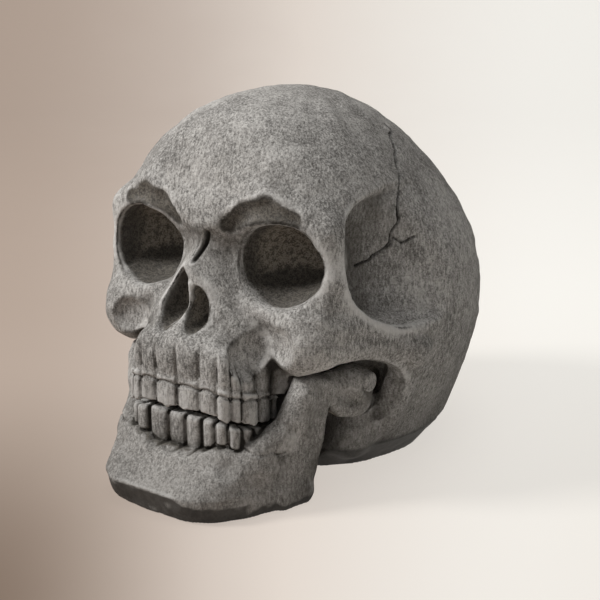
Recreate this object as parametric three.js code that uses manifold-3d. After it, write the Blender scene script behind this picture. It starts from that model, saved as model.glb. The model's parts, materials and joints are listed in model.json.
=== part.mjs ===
// Life-size faux-stone skull: a hollow head casting and a separate jaw casting that swings on two
// shoulder bolts at the jaw joints. Millimetres, +Z up, the face looks along -Y.
import * as THREE from "three";
import { mergeVertices } from "three/addons/utils/BufferGeometryUtils.js";
import { ConvexGeometry } from "three/addons/geometries/ConvexGeometry.js";
import Module from "manifold-3d";

const wasm = await Module();
wasm.setup();

// Driving dimensions. Places are (x, y, z) in the skull's own frame: x = 0 is the plane of symmetry,
// z = 0 the table, and the sizes of one side hold for the other.

// Braincase: an egg whose long axis leans back, drawn in towards the crown, on a flared foot that is cut flat.
const BRAINCASE_HALF_WIDTH = 86;
const BRAINCASE_HALF_LENGTH = 104.5;
const BRAINCASE_HALF_HEIGHT = 89;
const BRAINCASE_LEAN = 42;
const BRAINCASE_Y = 22.5;
const BRAINCASE_Z = 83.5;
const CROWN_TAPER = 0.17;
const CROWN_TAPER_START = 95;
const CROWN_TAPER_END = 170;
const WALL = 14;
const BULKHEAD_Y = 2;
const FOOT_HALF_WIDTH = 56;
const FOOT_HALF_LENGTH = 57;
const FOOT_Y = 34;
const FOOT_HEIGHT = 42;
const FOOT_FLARE = 10;

// Forehead, brows and eye sockets. The socket's plane is at ORBIT_Y, and brow and bridge reach past it.
const FOREHEAD_HALF_WIDTH = 58;
const FOREHEAD_HALF_LENGTH = 42;
const FOREHEAD_HALF_HEIGHT = 39;
const FOREHEAD_Y = -12;
const FOREHEAD_Z = 125;
const FOREHEAD_FRONT = -58;
const FOREHEAD_SLOPE = 14;
const FACE_STEP_Y = -50;
const FACE_STEP_TOP = 129;
const ORBIT_SPACING = 73.4;
const ORBIT_WIDTH = 45;
const ORBIT_HEIGHT = 39;
const ORBIT_DEPTH = 29;
const ORBIT_Y = -51;
const ORBIT_Z = 110.5;
const SOCKET_WALL = 4;
const BROW_THICKNESS = 13;
const BROW_REACH = 7;
const BRIDGE_REACH = 11;
const RIM_THICKNESS = 11.5;
const RIM_SETBACK = 6;

// Nose, cheekbones, the arch that runs back from them and the hollow above it.
const NOSE_WIDTH = 29;
const NOSE_HEIGHT = 34;
const NOSE_DEPTH = 20;
const NOSE_SPREAD = 12;
const NOSE_Y = -72;
const NOSE_Z = 92;
const NASAL_BONE_RADIUS = 6;
const CHEEK_HEIGHT = 32;
const CHEEK_WIDTH = 28;
const CHEEK_THICKNESS = 22;
const ARCH_THICKNESS = 13;
const ARCH_END_X = 80;
const ARCH_END_Y = 8;
const ARCH_CLEARANCE = 4;
const CHEEK_HOLLOW_SPAN = 76;
const CHEEK_HOLLOW_Y = -34;
const CHEEK_HOLLOW_Z = 44;
const TEMPLE_SPAN = 156;
const TEMPLE_HEIGHT = 68;
const TEMPLE_LENGTH = 64;
const TEMPLE_DEPTH = 12;
const TEMPLE_TURN = 30;
const TEMPLE_Y = -8;

// Teeth: one curve serves both rows.
const UPPER_TEETH = 14;
const LOWER_TEETH = 12;
const TOOTH_ROW_FRONT = -82;
const TOOTH_ROW_HALF_WIDTH = 33.5;
const TOOTH_ROW_CORNER = 15;
const UPPER_ROW_BACK = -44;
const LOWER_ROW_BACK = -57;
const TOOTH_THICKNESS = 7;
const TOOTH_GAP = 0.8;
const TOOTH_ROOT = 4;
const BITE_Z = 44.5;
const MOUTH_GAP = 2.5;
const UPPER_TOOTH_HEIGHT = 13;
const LOWER_TOOTH_HEIGHT = 14;
const UPPER_GUM_HEIGHT = 20;
const LOWER_GUM_HEIGHT = 14;
const GUM_STEP = 3;

// Jaw: side plates that splay from the chin to the joints and lean in towards the table.
const JAW_SPLAY = 18;
const JAW_LEAN = 8;
const JAW_SIDE_THICKNESS = 13;
const CHIN_WIDTH = 52;
const CHIN_FRONT = -100;
const CHIN_THICKNESS = 27;
const CHIN_SHOULDER = 20;
const CHIN_BEVEL = 5;
const CHIN_BEVEL_HEIGHT = 10;
const CHIN_SLOPE = 10;
const JAW_ANGLE_REACH = 27;
const JAW_ANGLE_BEVEL = 4;
const RAMUS_REAR_REACH = 18;
const RAMUS_FRONT_REACH = 44;
const RAMUS_TOP = 60;
const CONDYLE_NECK = 18;

// Jaw joint and its hardware.
const HINGE_HALF_SPAN = 58;
const HINGE_Y = -19;
const HINGE_Z = 52;
const CONDYLE_RADIUS = 8;
const CONDYLE_LENGTH = 16;
const JOINT_GAP = 0.5;
const JAW_ROOM = 2.5;
const JAW_OPEN = 14;
const JAW_CLOSE = -2;
const THROAT_HEIGHT = 56;
const THROAT_LENGTH = 64;
const THROAT_BACK = -7.5;
const BOLT_RADIUS = 2.5;
const BOLT_HEAD_RADIUS = 4.2;
const BOLT_HEAD_HEIGHT = 2.6;
const HEX_RADIUS = 1.5;
const HEX_DEPTH = 1.4;
const BUSH_WALL = 1.2;
const BUSH_LENGTH = 8;
const WASHER_THICKNESS = 0.8;
const INSERT_RADIUS = 4.5;
const INSERT_LENGTH = 10;
const INSERT_BOTTOM = 1;
const CAP_THICKNESS = 2.4;
const CAP_MARGIN = 0.6;
const FIT_GAP = 0.25;

// Underside: opening, plate, screws and pads.
const PAD_THICKNESS = 2;
const FOOT_PAD_RADIUS = 6;
const JAW_PAD_RADIUS = 5;
const FOOT_RIM = 17;
const LEDGE = 7;
const PLATE_THICKNESS = 3;
const FLOOR_THICKNESS = 11;
const SCREW_RADIUS = 1.5;
const SCREW_LENGTH = 9;
const SCREW_HEAD_RADIUS = 2.8;
const SCREW_HEAD_HEIGHT = 1.4;

// Overlap of solids that are joined, and overshoot of those that cut.
const OVERLAP = 1;

const STONE = new THREE.MeshStandardMaterial({ color: 0x84827e, roughness: 0.9, metalness: 0 });
const STEEL = new THREE.MeshStandardMaterial({ color: 0x9c9fa3, roughness: 0.35, metalness: 1 });
const BRASS = new THREE.MeshStandardMaterial({ color: 0xb08d4c, roughness: 0.4, metalness: 1 });
const BUSH_PLASTIC = new THREE.MeshStandardMaterial({ color: 0xdedbd0, roughness: 0.5, metalness: 0 });
const PLATE_PLASTIC = new THREE.MeshStandardMaterial({ color: 0x2c2c2d, roughness: 0.7, metalness: 0 });
const RUBBER = new THREE.MeshStandardMaterial({ color: 0x1f1f20, roughness: 0.9, metalness: 0 });

const vec = (x, y, z) => new THREE.Vector3(x, y, z);
const radians = THREE.MathUtils.degToRad;

// Solids: a closed geometry becomes a boolean solid, and comes back as a geometry.

function solid(geometry) {
  const bare = new THREE.BufferGeometry().setAttribute("position", geometry.getAttribute("position"));
  if (geometry.index) bare.setIndex(geometry.index);
  const merged = mergeVertices(bare, 1e-4);
  const corners = merged.index.array;
  const kept = [];
  for (let i = 0; i < corners.length; i += 3) {
    const [a, b, c] = [corners[i], corners[i + 1], corners[i + 2]];
    if (a !== b && b !== c && c !== a) kept.push(a, b, c);
  }
  const vertProperties = new Float32Array(merged.getAttribute("position").array);
  return new wasm.Manifold(new wasm.Mesh({ numProp: 3, vertProperties, triVerts: new Uint32Array(kept) }));
}

function geometryOf(shape) {
  const mesh = shape.getMesh();
  return new THREE.BufferGeometry()
    .setAttribute("position", new THREE.BufferAttribute(mesh.vertProperties, 3))
    .setIndex(new THREE.BufferAttribute(mesh.triVerts, 1));
}

function mirrored(geometry) {
  const copy = (geometry.index ? geometry.toNonIndexed() : geometry.clone()).scale(-1, 1, 1);
  const position = copy.getAttribute("position");
  for (let i = 0; i < position.count; i += 3) {
    const [b, c] = [i + 1, i + 2].map((k) => vec(0, 0, 0).fromBufferAttribute(position, k));
    position.setXYZ(i + 1, c.x, c.y, c.z);
    position.setXYZ(i + 2, b.x, b.y, b.z);
  }
  return copy;
}

const both = (geometry) => [geometry, mirrored(geometry)];
const joined = (geometries) => geometries.map(solid).reduce((a, b) => a.add(b));
const without = (shape, geometries) => geometries.reduce((a, b) => a.subtract(solid(b)), shape);

// Forms: eggs, tapered limbs, discs and extruded outlines.

function egg(at, radii, detail, lean = 0, spread = 0) {
  return new THREE.SphereGeometry(1, detail, Math.round(detail * 0.65))
    .rotateX(Math.PI / 2)
    .scale(radii.x, radii.y, radii.z)
    .rotateX(-radians(lean))
    .rotateY(-radians(spread))
    .translate(at.x, at.y, at.z);
}

function limb(from, to, fromRadius, toRadius, sides = 9) {
  const length = from.distanceTo(to);
  const capSteps = 2;
  const profile = [];
  for (let i = 0; i <= capSteps; i++) {
    const angle = (i / capSteps - 1) * (Math.PI / 2);
    profile.push(new THREE.Vector2(fromRadius * Math.cos(angle), fromRadius * Math.sin(angle)));
  }
  for (let i = 0; i <= capSteps; i++) {
    const angle = (i / capSteps) * (Math.PI / 2);
    profile.push(new THREE.Vector2(toRadius * Math.cos(angle), length + toRadius * Math.sin(angle)));
  }
  profile[0].x = 0;
  profile[profile.length - 1].x = 0;
  const turn = new THREE.Quaternion().setFromUnitVectors(vec(0, 1, 0), to.clone().sub(from).normalize());
  return new THREE.LatheGeometry(profile, sides).applyQuaternion(turn).translate(from.x, from.y, from.z);
}

// A round piece along +X from x0 to x1 on the jaw joint's axis.
function axleDisc(radius, x0, x1, sides = 16) {
  return new THREE.CylinderGeometry(radius, radius, x1 - x0, sides)
    .rotateZ(-Math.PI / 2)
    .translate((x0 + x1) / 2, HINGE_Y, HINGE_Z);
}

function uprightDisc(radius, x, y, z0, z1, sides = 16) {
  return new THREE.CylinderGeometry(radius, radius, z1 - z0, sides)
    .rotateX(Math.PI / 2)
    .translate(x, y, (z0 + z1) / 2);
}

function uprightOutline(shape, z0, z1) {
  return new THREE.ExtrudeGeometry(shape, { depth: z1 - z0, bevelEnabled: false, curveSegments: 2 })
    .translate(0, 0, z0);
}

function box(low, high) {
  const size = high.clone().sub(low);
  const middle = low.clone().add(high).multiplyScalar(0.5);
  return new THREE.BoxGeometry(size.x, size.y, size.z).translate(middle.x, middle.y, middle.z);
}

const SOLE_Z = PAD_THICKNESS;

// Teeth.
const orbitX = ORBIT_SPACING / 2;
const upperBite = BITE_Z + MOUTH_GAP / 2;
const lowerBite = BITE_Z - MOUTH_GAP / 2;
const upperGum = upperBite + UPPER_TOOTH_HEIGHT;
const lowerGum = lowerBite - LOWER_TOOTH_HEIGHT;

function toothRowCurve(inset, back) {
  const half = TOOTH_ROW_HALF_WIDTH - inset;
  const front = TOOTH_ROW_FRONT + inset;
  const corner = TOOTH_ROW_CORNER - inset;
  const curve = new THREE.Path();
  curve.moveTo(-half, back);
  curve.lineTo(-half, front + corner);
  curve.absarc(-half + corner, front + corner, corner, Math.PI, Math.PI * 1.5);
  curve.lineTo(half - corner, front);
  curve.absarc(half - corner, front + corner, corner, Math.PI * 1.5, Math.PI * 2);
  curve.lineTo(half, back);
  return curve;
}

function toothPlan(width) {
  const [w, t] = [width / 2, TOOTH_THICKNESS / 2];
  const corner = width * 0.25;
  const plan = new THREE.Shape();
  plan.moveTo(-w, -t + corner);
  plan.quadraticCurveTo(-w, -t, -w + corner, -t);
  plan.lineTo(w - corner, -t);
  plan.quadraticCurveTo(w, -t, w, -t + corner);
  plan.lineTo(w, t);
  plan.lineTo(-w, t);
  plan.closePath();
  return plan;
}

function toothRow(count, back, z0, z1) {
  const curve = toothRowCurve(TOOTH_THICKNESS / 2, back);
  const plan = toothPlan(curve.getLength() / count - TOOTH_GAP);
  const teeth = [];
  for (let i = 0; i < count; i++) {
    const share = (i + 0.5) / count;
    const at = curve.getPointAt(share);
    const along = curve.getTangentAt(share);
    const tooth = uprightOutline(plan, z0, z1).rotateZ(Math.atan2(along.y, along.x));
    teeth.push(tooth.translate(at.x, at.y, 0));
  }
  return teeth;
}

// The gum under the lower row: a band along the teeth.
function gumOutline(outerInset, innerInset, back) {
  const outer = toothRowCurve(outerInset, back).getPoints(6);
  const inner = toothRowCurve(innerInset, back).getPoints(6).reverse();
  return new THREE.Shape([...outer, ...inner]);
}

// Jaw: a side plate each side, drawn in its own plane, and the chin between them.

const splay = radians(JAW_SPLAY);
const leanIn = Math.tan(radians(JAW_LEAN));

// A point at a reach forward of the joint, a distance out from the side's middle, and a height.
function onSide(reach, out, z) {
  return vec(
    HINGE_HALF_SPAN - reach * Math.sin(splay) + out * Math.cos(splay) + (z - HINGE_Z) * leanIn,
    HINGE_Y - reach * Math.cos(splay) - out * Math.sin(splay),
    z,
  );
}

const chinReach = (HINGE_Y - CHIN_FRONT - CHIN_SHOULDER) / Math.cos(splay);

// Chin end, ramus with its blunt top, condyle neck, jaw angle, sole: reach forward against height.
function sideProfile() {
  const shape = new THREE.Shape();
  const ramusFoot = (RAMUS_FRONT_REACH + chinReach - CHIN_SLOPE) / 2;
  const neckTop = HINGE_Z + CONDYLE_RADIUS / 4;
  shape.moveTo(chinReach - CHIN_BEVEL, SOLE_Z);
  shape.lineTo(chinReach, SOLE_Z + CHIN_BEVEL_HEIGHT);
  shape.lineTo(chinReach - CHIN_SLOPE, lowerGum);
  shape.lineTo(ramusFoot, lowerGum);
  shape.quadraticCurveTo(RAMUS_FRONT_REACH + 2, lowerGum + 4, RAMUS_FRONT_REACH, HINGE_Z);
  shape.lineTo(RAMUS_FRONT_REACH - 5, RAMUS_TOP - 2);
  shape.lineTo(RAMUS_FRONT_REACH - 10, RAMUS_TOP);
  shape.lineTo(RAMUS_REAR_REACH + 5, RAMUS_TOP);
  shape.quadraticCurveTo(RAMUS_REAR_REACH, RAMUS_TOP, RAMUS_REAR_REACH - 1, neckTop);
  shape.lineTo(-CONDYLE_RADIUS / 2, neckTop);
  shape.lineTo(-CONDYLE_RADIUS / 2, HINGE_Z - CONDYLE_RADIUS / 2);
  shape.lineTo(CONDYLE_RADIUS, HINGE_Z - CONDYLE_NECK * 0.75);
  shape.lineTo(RAMUS_REAR_REACH + 3, HINGE_Z - CONDYLE_NECK);
  shape.lineTo(JAW_ANGLE_REACH - 3, SOLE_Z + 12);
  shape.lineTo(JAW_ANGLE_REACH, SOLE_Z + JAW_ANGLE_BEVEL);
  shape.lineTo(JAW_ANGLE_REACH + JAW_ANGLE_BEVEL, SOLE_Z);
  shape.closePath();
  return shape;
}

function jawSide() {
  const flat = new THREE.ExtrudeGeometry(sideProfile(), {
    depth: JAW_SIDE_THICKNESS,
    bevelEnabled: false,
    curveSegments: 5,
  });
  const start = onSide(0, JAW_SIDE_THICKNESS / 2, 0);
  const along = onSide(1, JAW_SIDE_THICKNESS / 2, 0).sub(start);
  const up = onSide(0, JAW_SIDE_THICKNESS / 2, 1).sub(start);
  const inward = onSide(0, JAW_SIDE_THICKNESS / 2 - 1, 0).sub(start);
  return flat.applyMatrix4(new THREE.Matrix4().makeBasis(along, up, inward).setPosition(start));
}

// The chin's outline in plan at a height: a flat front, cheeks that widen to the side plates, and a back.
function chinOutline(front, half, shoulder) {
  const z = shoulder.z;
  const corner = CHIN_WIDTH / 16;
  const back = vec(half + JAW_SIDE_THICKNESS / 2, CHIN_FRONT + CHIN_THICKNESS, z);
  const right = [vec(half - corner, front, z), vec(half, front + corner, z), shoulder, back];
  return [...right, ...right.map((p) => vec(-p.x, p.y, z))];
}

// The space one side of the jaw sweeps through, with room round it.
function jawRoom() {
  const inRoom = (p) => p.x < RAMUS_FRONT_REACH + OVERLAP && p.y > lowerGum / 2;
  const rear = sideProfile().getPoints(3).filter(inRoom);
  const points = [];
  for (const angle of [JAW_CLOSE, 0, JAW_OPEN / 2, JAW_OPEN]) {
    const turn = new THREE.Matrix4().makeRotationX(radians(angle));
    for (const p of rear) {
      for (const side of [-1, 1]) {
        for (const grow of [-JAW_ROOM, JAW_ROOM]) {
          const out = side * (JAW_SIDE_THICKNESS / 2 + JAW_ROOM);
          const point = onSide(p.x + grow, out, p.y + grow / 2).sub(vec(0, HINGE_Y, HINGE_Z));
          points.push(point.applyMatrix4(turn).add(vec(0, HINGE_Y, HINGE_Z)));
        }
      }
    }
  }
  return new ConvexGeometry(points);
}

const condyleIn = HINGE_HALF_SPAN - CONDYLE_LENGTH / 2;
const condyleOut = HINGE_HALF_SPAN + CONDYLE_LENGTH / 2;
const bossFace = condyleIn - JOINT_GAP;
const capSeat = condyleOut - CAP_THICKNESS;
const headSeat = capSeat - FIT_GAP - BOLT_HEAD_HEIGHT;
const washerSeat = headSeat - FIT_GAP - WASHER_THICKNESS;
const boltTip = bossFace - INSERT_LENGTH + INSERT_BOTTOM;
const bushOuter = BOLT_RADIUS + FIT_GAP + BUSH_WALL;
const bushStart = condyleIn + FIT_GAP;
const bushEnd = Math.min(bushStart + BUSH_LENGTH, washerSeat - FIT_GAP);
const counterboreRadius = BOLT_HEAD_RADIUS + CAP_MARGIN;

function mandible() {
  const half = CHIN_WIDTH / 2;
  const out = JAW_SIDE_THICKNESS / 2;
  const low = onSide(chinReach - CHIN_BEVEL, out, SOLE_Z);
  const middle = onSide(chinReach, out, SOLE_Z + CHIN_BEVEL_HEIGHT);
  const high = onSide(chinReach - CHIN_SLOPE, -out / 2, lowerGum);
  const chin = new ConvexGeometry([
    ...chinOutline(CHIN_FRONT + CHIN_BEVEL, half - CHIN_BEVEL / 2, low),
    ...chinOutline(CHIN_FRONT, half, middle),
    ...chinOutline(TOOTH_ROW_FRONT, half - CHIN_SLOPE / 2, high),
  ]);
  const gum = gumOutline(-GUM_STEP, TOOTH_THICKNESS + GUM_STEP, LOWER_ROW_BACK);
  const jaw = joined([
    ...both(jawSide()),
    chin,
    uprightOutline(gum, lowerGum - LOWER_GUM_HEIGHT, lowerGum),
    ...toothRow(LOWER_TEETH, LOWER_ROW_BACK, lowerGum - TOOTH_ROOT, lowerBite),
    ...both(axleDisc(CONDYLE_RADIUS, condyleIn, condyleOut)),
  ]);
  return without(jaw, [
    ...both(axleDisc(CONDYLE_RADIUS + JAW_ROOM, 0, condyleIn)),
    ...both(axleDisc(bushOuter + FIT_GAP, condyleIn - OVERLAP, bushEnd + FIT_GAP)),
    ...both(axleDisc(BOLT_RADIUS + FIT_GAP, condyleIn - OVERLAP, condyleOut + OVERLAP)),
    ...both(axleDisc(counterboreRadius, washerSeat - FIT_GAP, condyleOut + OVERLAP)),
  ]);
}

// Head casting.

// A geometry drawn in towards the plane of symmetry as it rises over the crown.
function crownTapered(geometry) {
  const position = geometry.getAttribute("position");
  for (let i = 0; i < position.count; i++) {
    const rise = THREE.MathUtils.smoothstep(position.getZ(i), CROWN_TAPER_START, CROWN_TAPER_END);
    position.setX(i, position.getX(i) / (1 + CROWN_TAPER * rise));
  }
  return geometry;
}

// What the braincase loses in front: a step that makes room for the face, and a slope over the brows.
function braincaseFront() {
  const far = 2 * BRAINCASE_HALF_LENGTH;
  const step = box(vec(-far, -far, -far), vec(far, FACE_STEP_Y, FACE_STEP_TOP));
  const slope = box(vec(-far, -far, -far), vec(far, 0, far))
    .rotateX(-radians(FOREHEAD_SLOPE))
    .translate(0, FOREHEAD_FRONT, FACE_STEP_TOP);
  return [step, slope];
}

const rimOut = orbitX + (ORBIT_WIDTH + RIM_THICKNESS) / 2;
const rimLow = ORBIT_Z - ORBIT_HEIGHT / 2;
const browTop = ORBIT_Z + (ORBIT_HEIGHT + BROW_THICKNESS) / 2;
const cheekLow = rimLow - CHEEK_HEIGHT + RIM_THICKNESS / 2;
const maskBack = ORBIT_Y + ORBIT_DEPTH + SOCKET_WALL;
const muzzleTop = NOSE_Z + NOSE_HEIGHT / 2;

// The block the sockets are sunk in: brow, outer rims and cheeks lie nearly in one plane.
function faceMask() {
  const rimEdge = RIM_THICKNESS / 3;
  const half = [
    vec(0, ORBIT_Y - BRIDGE_REACH, browTop - BROW_THICKNESS / 2),
    vec(orbitX, ORBIT_Y - BROW_REACH, browTop),
    vec(rimOut - rimEdge, ORBIT_Y + RIM_SETBACK, browTop - BROW_THICKNESS / 2),
    vec(rimOut, ORBIT_Y + RIM_SETBACK, ORBIT_Z),
    vec(rimOut - rimEdge, ORBIT_Y + RIM_SETBACK / 2, rimLow - rimEdge),
    vec(orbitX + CHEEK_WIDTH * 0.65, ORBIT_Y, cheekLow),
    vec(TOOTH_ROW_HALF_WIDTH * 0.85, ORBIT_Y - BRIDGE_REACH, upperGum + UPPER_GUM_HEIGHT / 2),
    vec(rimOut - rimEdge, maskBack, browTop - BROW_THICKNESS / 2),
    vec(rimOut - rimEdge, maskBack, rimLow - RIM_THICKNESS),
    vec(0, maskBack, browTop),
  ];
  return new ConvexGeometry([...half, ...half.map((p) => vec(-p.x, p.y, p.z))]);
}

function browRidge() {
  const radius = BROW_THICKNESS / 2;
  const sunk = browTop - radius * 1.2;
  const inner = vec(orbitX * 0.2, ORBIT_Y - BROW_REACH, sunk - radius / 2);
  const middle = vec(orbitX, ORBIT_Y - BROW_REACH / 2, sunk);
  const outer = vec(rimOut - radius * 1.3, ORBIT_Y + RIM_SETBACK, sunk - radius);
  return [limb(inner, middle, radius, radius), limb(middle, outer, radius, RIM_THICKNESS / 2)];
}

const cheek = vec(orbitX + CHEEK_WIDTH / 2, ORBIT_Y + RIM_SETBACK / 3, cheekLow + CHEEK_HEIGHT / 2);

function cheekArch() {
  const radius = ARCH_THICKNESS / 2;
  const middleX = (rimOut + ARCH_END_X) / 2;
  const middleZ = HINGE_Z + CONDYLE_RADIUS + radius + ARCH_CLEARANCE;
  const start = vec(cheek.x + radius, cheek.y + RIM_SETBACK, cheek.z);
  const middle = vec(middleX, HINGE_Y + radius, middleZ);
  const end = vec(ARCH_END_X, ARCH_END_Y, middleZ - radius / 2);
  return [limb(start, middle, radius * 1.25, radius), limb(middle, end, radius, radius * 1.15)];
}

function muzzle() {
  const row = (inset, back, z) => toothRowCurve(inset, back).getPoints(4).map((p) => vec(p.x, p.y, z));
  return new ConvexGeometry([
    ...row(TOOTH_GAP * 2, UPPER_ROW_BACK, upperGum - OVERLAP),
    ...row(TOOTH_THICKNESS / 2, UPPER_ROW_BACK, upperGum + UPPER_GUM_HEIGHT),
    ...row(TOOTH_ROW_CORNER * 0.85, ORBIT_Y, muzzleTop),
  ]);
}

function faceMasses() {
  const forehead = vec(FOREHEAD_HALF_WIDTH, FOREHEAD_HALF_LENGTH, FOREHEAD_HALF_HEIGHT);
  const noseRoot = vec(0, ORBIT_Y - BROW_REACH, browTop - BROW_THICKNESS);
  const noseTip = vec(0, NOSE_Y + NASAL_BONE_RADIUS, muzzleTop + NASAL_BONE_RADIUS / 2);
  return [
    faceMask(),
    muzzle(),
    egg(vec(0, FOREHEAD_Y, FOREHEAD_Z), forehead, 20),
    ...browRidge().flatMap(both),
    ...both(egg(cheek, vec(CHEEK_WIDTH / 2, CHEEK_THICKNESS / 2, CHEEK_HEIGHT / 2), 12)),
    ...cheekArch().flatMap(both),
    limb(noseRoot, noseTip, NASAL_BONE_RADIUS, NASAL_BONE_RADIUS * 0.7),
  ];
}

function faceHollows() {
  const orbit = vec(ORBIT_WIDTH / 2, ORBIT_DEPTH, ORBIT_HEIGHT / 2);
  const nostril = vec(NOSE_WIDTH / 4, NOSE_DEPTH, NOSE_HEIGHT / 2);
  const temple = egg(vec(0, 0, 0), vec(TEMPLE_DEPTH, TEMPLE_LENGTH / 2, TEMPLE_HEIGHT / 2), 18)
    .rotateZ(-radians(TEMPLE_TURN))
    .translate(TEMPLE_SPAN / 2, TEMPLE_Y, ORBIT_Z - TEMPLE_HEIGHT / 20);
  const underCheek = vec(CHEEK_WIDTH * 0.85, CHEEK_HEIGHT, CHEEK_WIDTH * 0.8);
  const underCheekAt = vec(CHEEK_HOLLOW_SPAN / 2 + underCheek.x, CHEEK_HOLLOW_Y, CHEEK_HOLLOW_Z);
  const throat = vec(BRAINCASE_HALF_WIDTH * 1.1, THROAT_LENGTH / 2, THROAT_HEIGHT / 2);
  return [
    ...both(egg(vec(orbitX, ORBIT_Y, ORBIT_Z), orbit, 18)),
    ...both(egg(vec(NOSE_WIDTH / 4, NOSE_Y, NOSE_Z), nostril, 12, 0, NOSE_SPREAD)),
    ...both(temple),
    ...both(egg(underCheekAt, underCheek, 14)),
    egg(vec(0, THROAT_BACK - THROAT_LENGTH / 2, SOLE_Z + THROAT_HEIGHT / 2), throat, 16),
    ...both(jawRoom()),
    ...both(axleDisc(CONDYLE_RADIUS + JAW_ROOM, bossFace, BRAINCASE_HALF_WIDTH * 1.2)),
  ];
}

function hollow() {
  const radii = vec(BRAINCASE_HALF_WIDTH - WALL, BRAINCASE_HALF_LENGTH - WALL, BRAINCASE_HALF_HEIGHT - WALL);
  const inside = solid(crownTapered(egg(vec(0, BRAINCASE_Y, BRAINCASE_Z), radii, 20, BRAINCASE_LEAN)));
  const low = vec(-BRAINCASE_HALF_WIDTH, BULKHEAD_Y, SOLE_Z + FLOOR_THICKNESS);
  const high = vec(BRAINCASE_HALF_WIDTH, 2 * BRAINCASE_HALF_LENGTH, 3 * BRAINCASE_HALF_HEIGHT);
  return inside.intersect(solid(box(low, high)));
}

// A place on the foot's rim, at an inset from its edge and an angle round it.
function onFoot(inset, angle) {
  return {
    x: (FOOT_HALF_WIDTH - inset) * Math.cos(angle),
    y: FOOT_Y + (FOOT_HALF_LENGTH - inset) * Math.sin(angle),
  };
}

const corners = [45, 135, 225, 315].map(radians);
const screwPlaces = corners.map((angle) => onFoot(FOOT_RIM + LEDGE / 2, angle));
const plateTop = SOLE_Z + PLATE_THICKNESS;
const screwHeadTop = SOLE_Z + SCREW_HEAD_HEIGHT;
const screwTip = SOLE_Z + SCREW_LENGTH;
const screwHole = SCREW_RADIUS + FIT_GAP;

// An upright oval piece that follows the foot's edge at an inset.
function footOval(inset, z0, z1) {
  return uprightDisc(1, 0, 0, z0, z1, 28)
    .scale(FOOT_HALF_WIDTH - inset, FOOT_HALF_LENGTH - inset, 1)
    .translate(0, FOOT_Y, 0);
}

// The foot widens upwards until the braincase takes it in.
function footMass() {
  const flare = 1 + FOOT_FLARE / FOOT_HALF_WIDTH;
  return new THREE.CylinderGeometry(flare, 1, FOOT_HEIGHT, 32)
    .rotateX(Math.PI / 2)
    .scale(FOOT_HALF_WIDTH, FOOT_HALF_LENGTH, 1)
    .translate(0, FOOT_Y, SOLE_Z + FOOT_HEIGHT / 2);
}

function craniumShell() {
  const radii = vec(BRAINCASE_HALF_WIDTH, BRAINCASE_HALF_LENGTH, BRAINCASE_HALF_HEIGHT);
  const whole = crownTapered(egg(vec(0, BRAINCASE_Y, BRAINCASE_Z), radii, 34, BRAINCASE_LEAN));
  const braincase = without(solid(whole), braincaseFront());
  const bossRoot = bossFace - 2 * INSERT_LENGTH;
  const ledgeTop = SOLE_Z + FLOOR_THICKNESS + WALL;
  const below = box(
    vec(-2 * BRAINCASE_HALF_WIDTH, -2 * BRAINCASE_HALF_LENGTH, -BRAINCASE_HALF_HEIGHT),
    vec(2 * BRAINCASE_HALF_WIDTH, 2 * BRAINCASE_HALF_LENGTH, SOLE_Z),
  );
  const head = without(braincase.add(joined([footMass(), ...faceMasses()])), faceHollows())
    .add(joined(both(axleDisc(CONDYLE_RADIUS, bossRoot, bossFace))))
    .add(joined(toothRow(UPPER_TEETH, UPPER_ROW_BACK, upperBite, upperGum + TOOTH_ROOT)))
    .subtract(hollow());
  return without(head, [
    below,
    footOval(FOOT_RIM + LEDGE, SOLE_Z - OVERLAP, ledgeTop),
    footOval(FOOT_RIM - FIT_GAP, SOLE_Z - OVERLAP, plateTop + FIT_GAP),
    ...screwPlaces.map(({ x, y }) => uprightDisc(screwHole, x, y, SOLE_Z, screwTip + FIT_GAP, 12)),
    ...both(axleDisc(INSERT_RADIUS + FIT_GAP, bossFace - INSERT_LENGTH - FIT_GAP, bossFace + OVERLAP)),
  ]);
}

// Hardware, each piece one closed solid.

function basePlate() {
  const plate = solid(footOval(FOOT_RIM, SOLE_Z, plateTop));
  const seat = SCREW_HEAD_RADIUS + FIT_GAP;
  return without(plate, [
    ...screwPlaces.map(({ x, y }) => uprightDisc(screwHole, x, y, SOLE_Z - OVERLAP, plateTop + OVERLAP, 12)),
    ...screwPlaces.map(({ x, y }) => uprightDisc(seat, x, y, SOLE_Z - OVERLAP, screwHeadTop + FIT_GAP)),
  ]);
}

function baseScrew({ x, y }) {
  return joined([
    uprightDisc(SCREW_HEAD_RADIUS, x, y, SOLE_Z, screwHeadTop),
    uprightDisc(SCREW_RADIUS, x, y, screwHeadTop - FIT_GAP, screwTip, 12),
  ]);
}

function pivotInsert() {
  const sleeve = solid(axleDisc(INSERT_RADIUS, bossFace - INSERT_LENGTH, bossFace - FIT_GAP));
  return without(sleeve, [axleDisc(BOLT_RADIUS + FIT_GAP, boltTip - FIT_GAP, bossFace + OVERLAP)]);
}

function pivotBush() {
  const sleeve = solid(axleDisc(bushOuter, bushStart, bushEnd));
  return without(sleeve, [axleDisc(BOLT_RADIUS + FIT_GAP, bushStart - OVERLAP, bushEnd + OVERLAP)]);
}

function pivotWasher() {
  const top = washerSeat + WASHER_THICKNESS;
  const disc = solid(axleDisc(BOLT_HEAD_RADIUS, washerSeat, top));
  return without(disc, [axleDisc(BOLT_RADIUS + FIT_GAP, washerSeat - OVERLAP, top + OVERLAP)]);
}

function pivotBolt() {
  const headTop = headSeat + BOLT_HEAD_HEIGHT;
  const bolt = joined([
    axleDisc(BOLT_RADIUS, boltTip, headSeat + FIT_GAP),
    axleDisc(BOLT_HEAD_RADIUS, headSeat, headTop),
  ]);
  return without(bolt, [axleDisc(HEX_RADIUS, headTop - HEX_DEPTH, condyleOut, 6)]);
}

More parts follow.
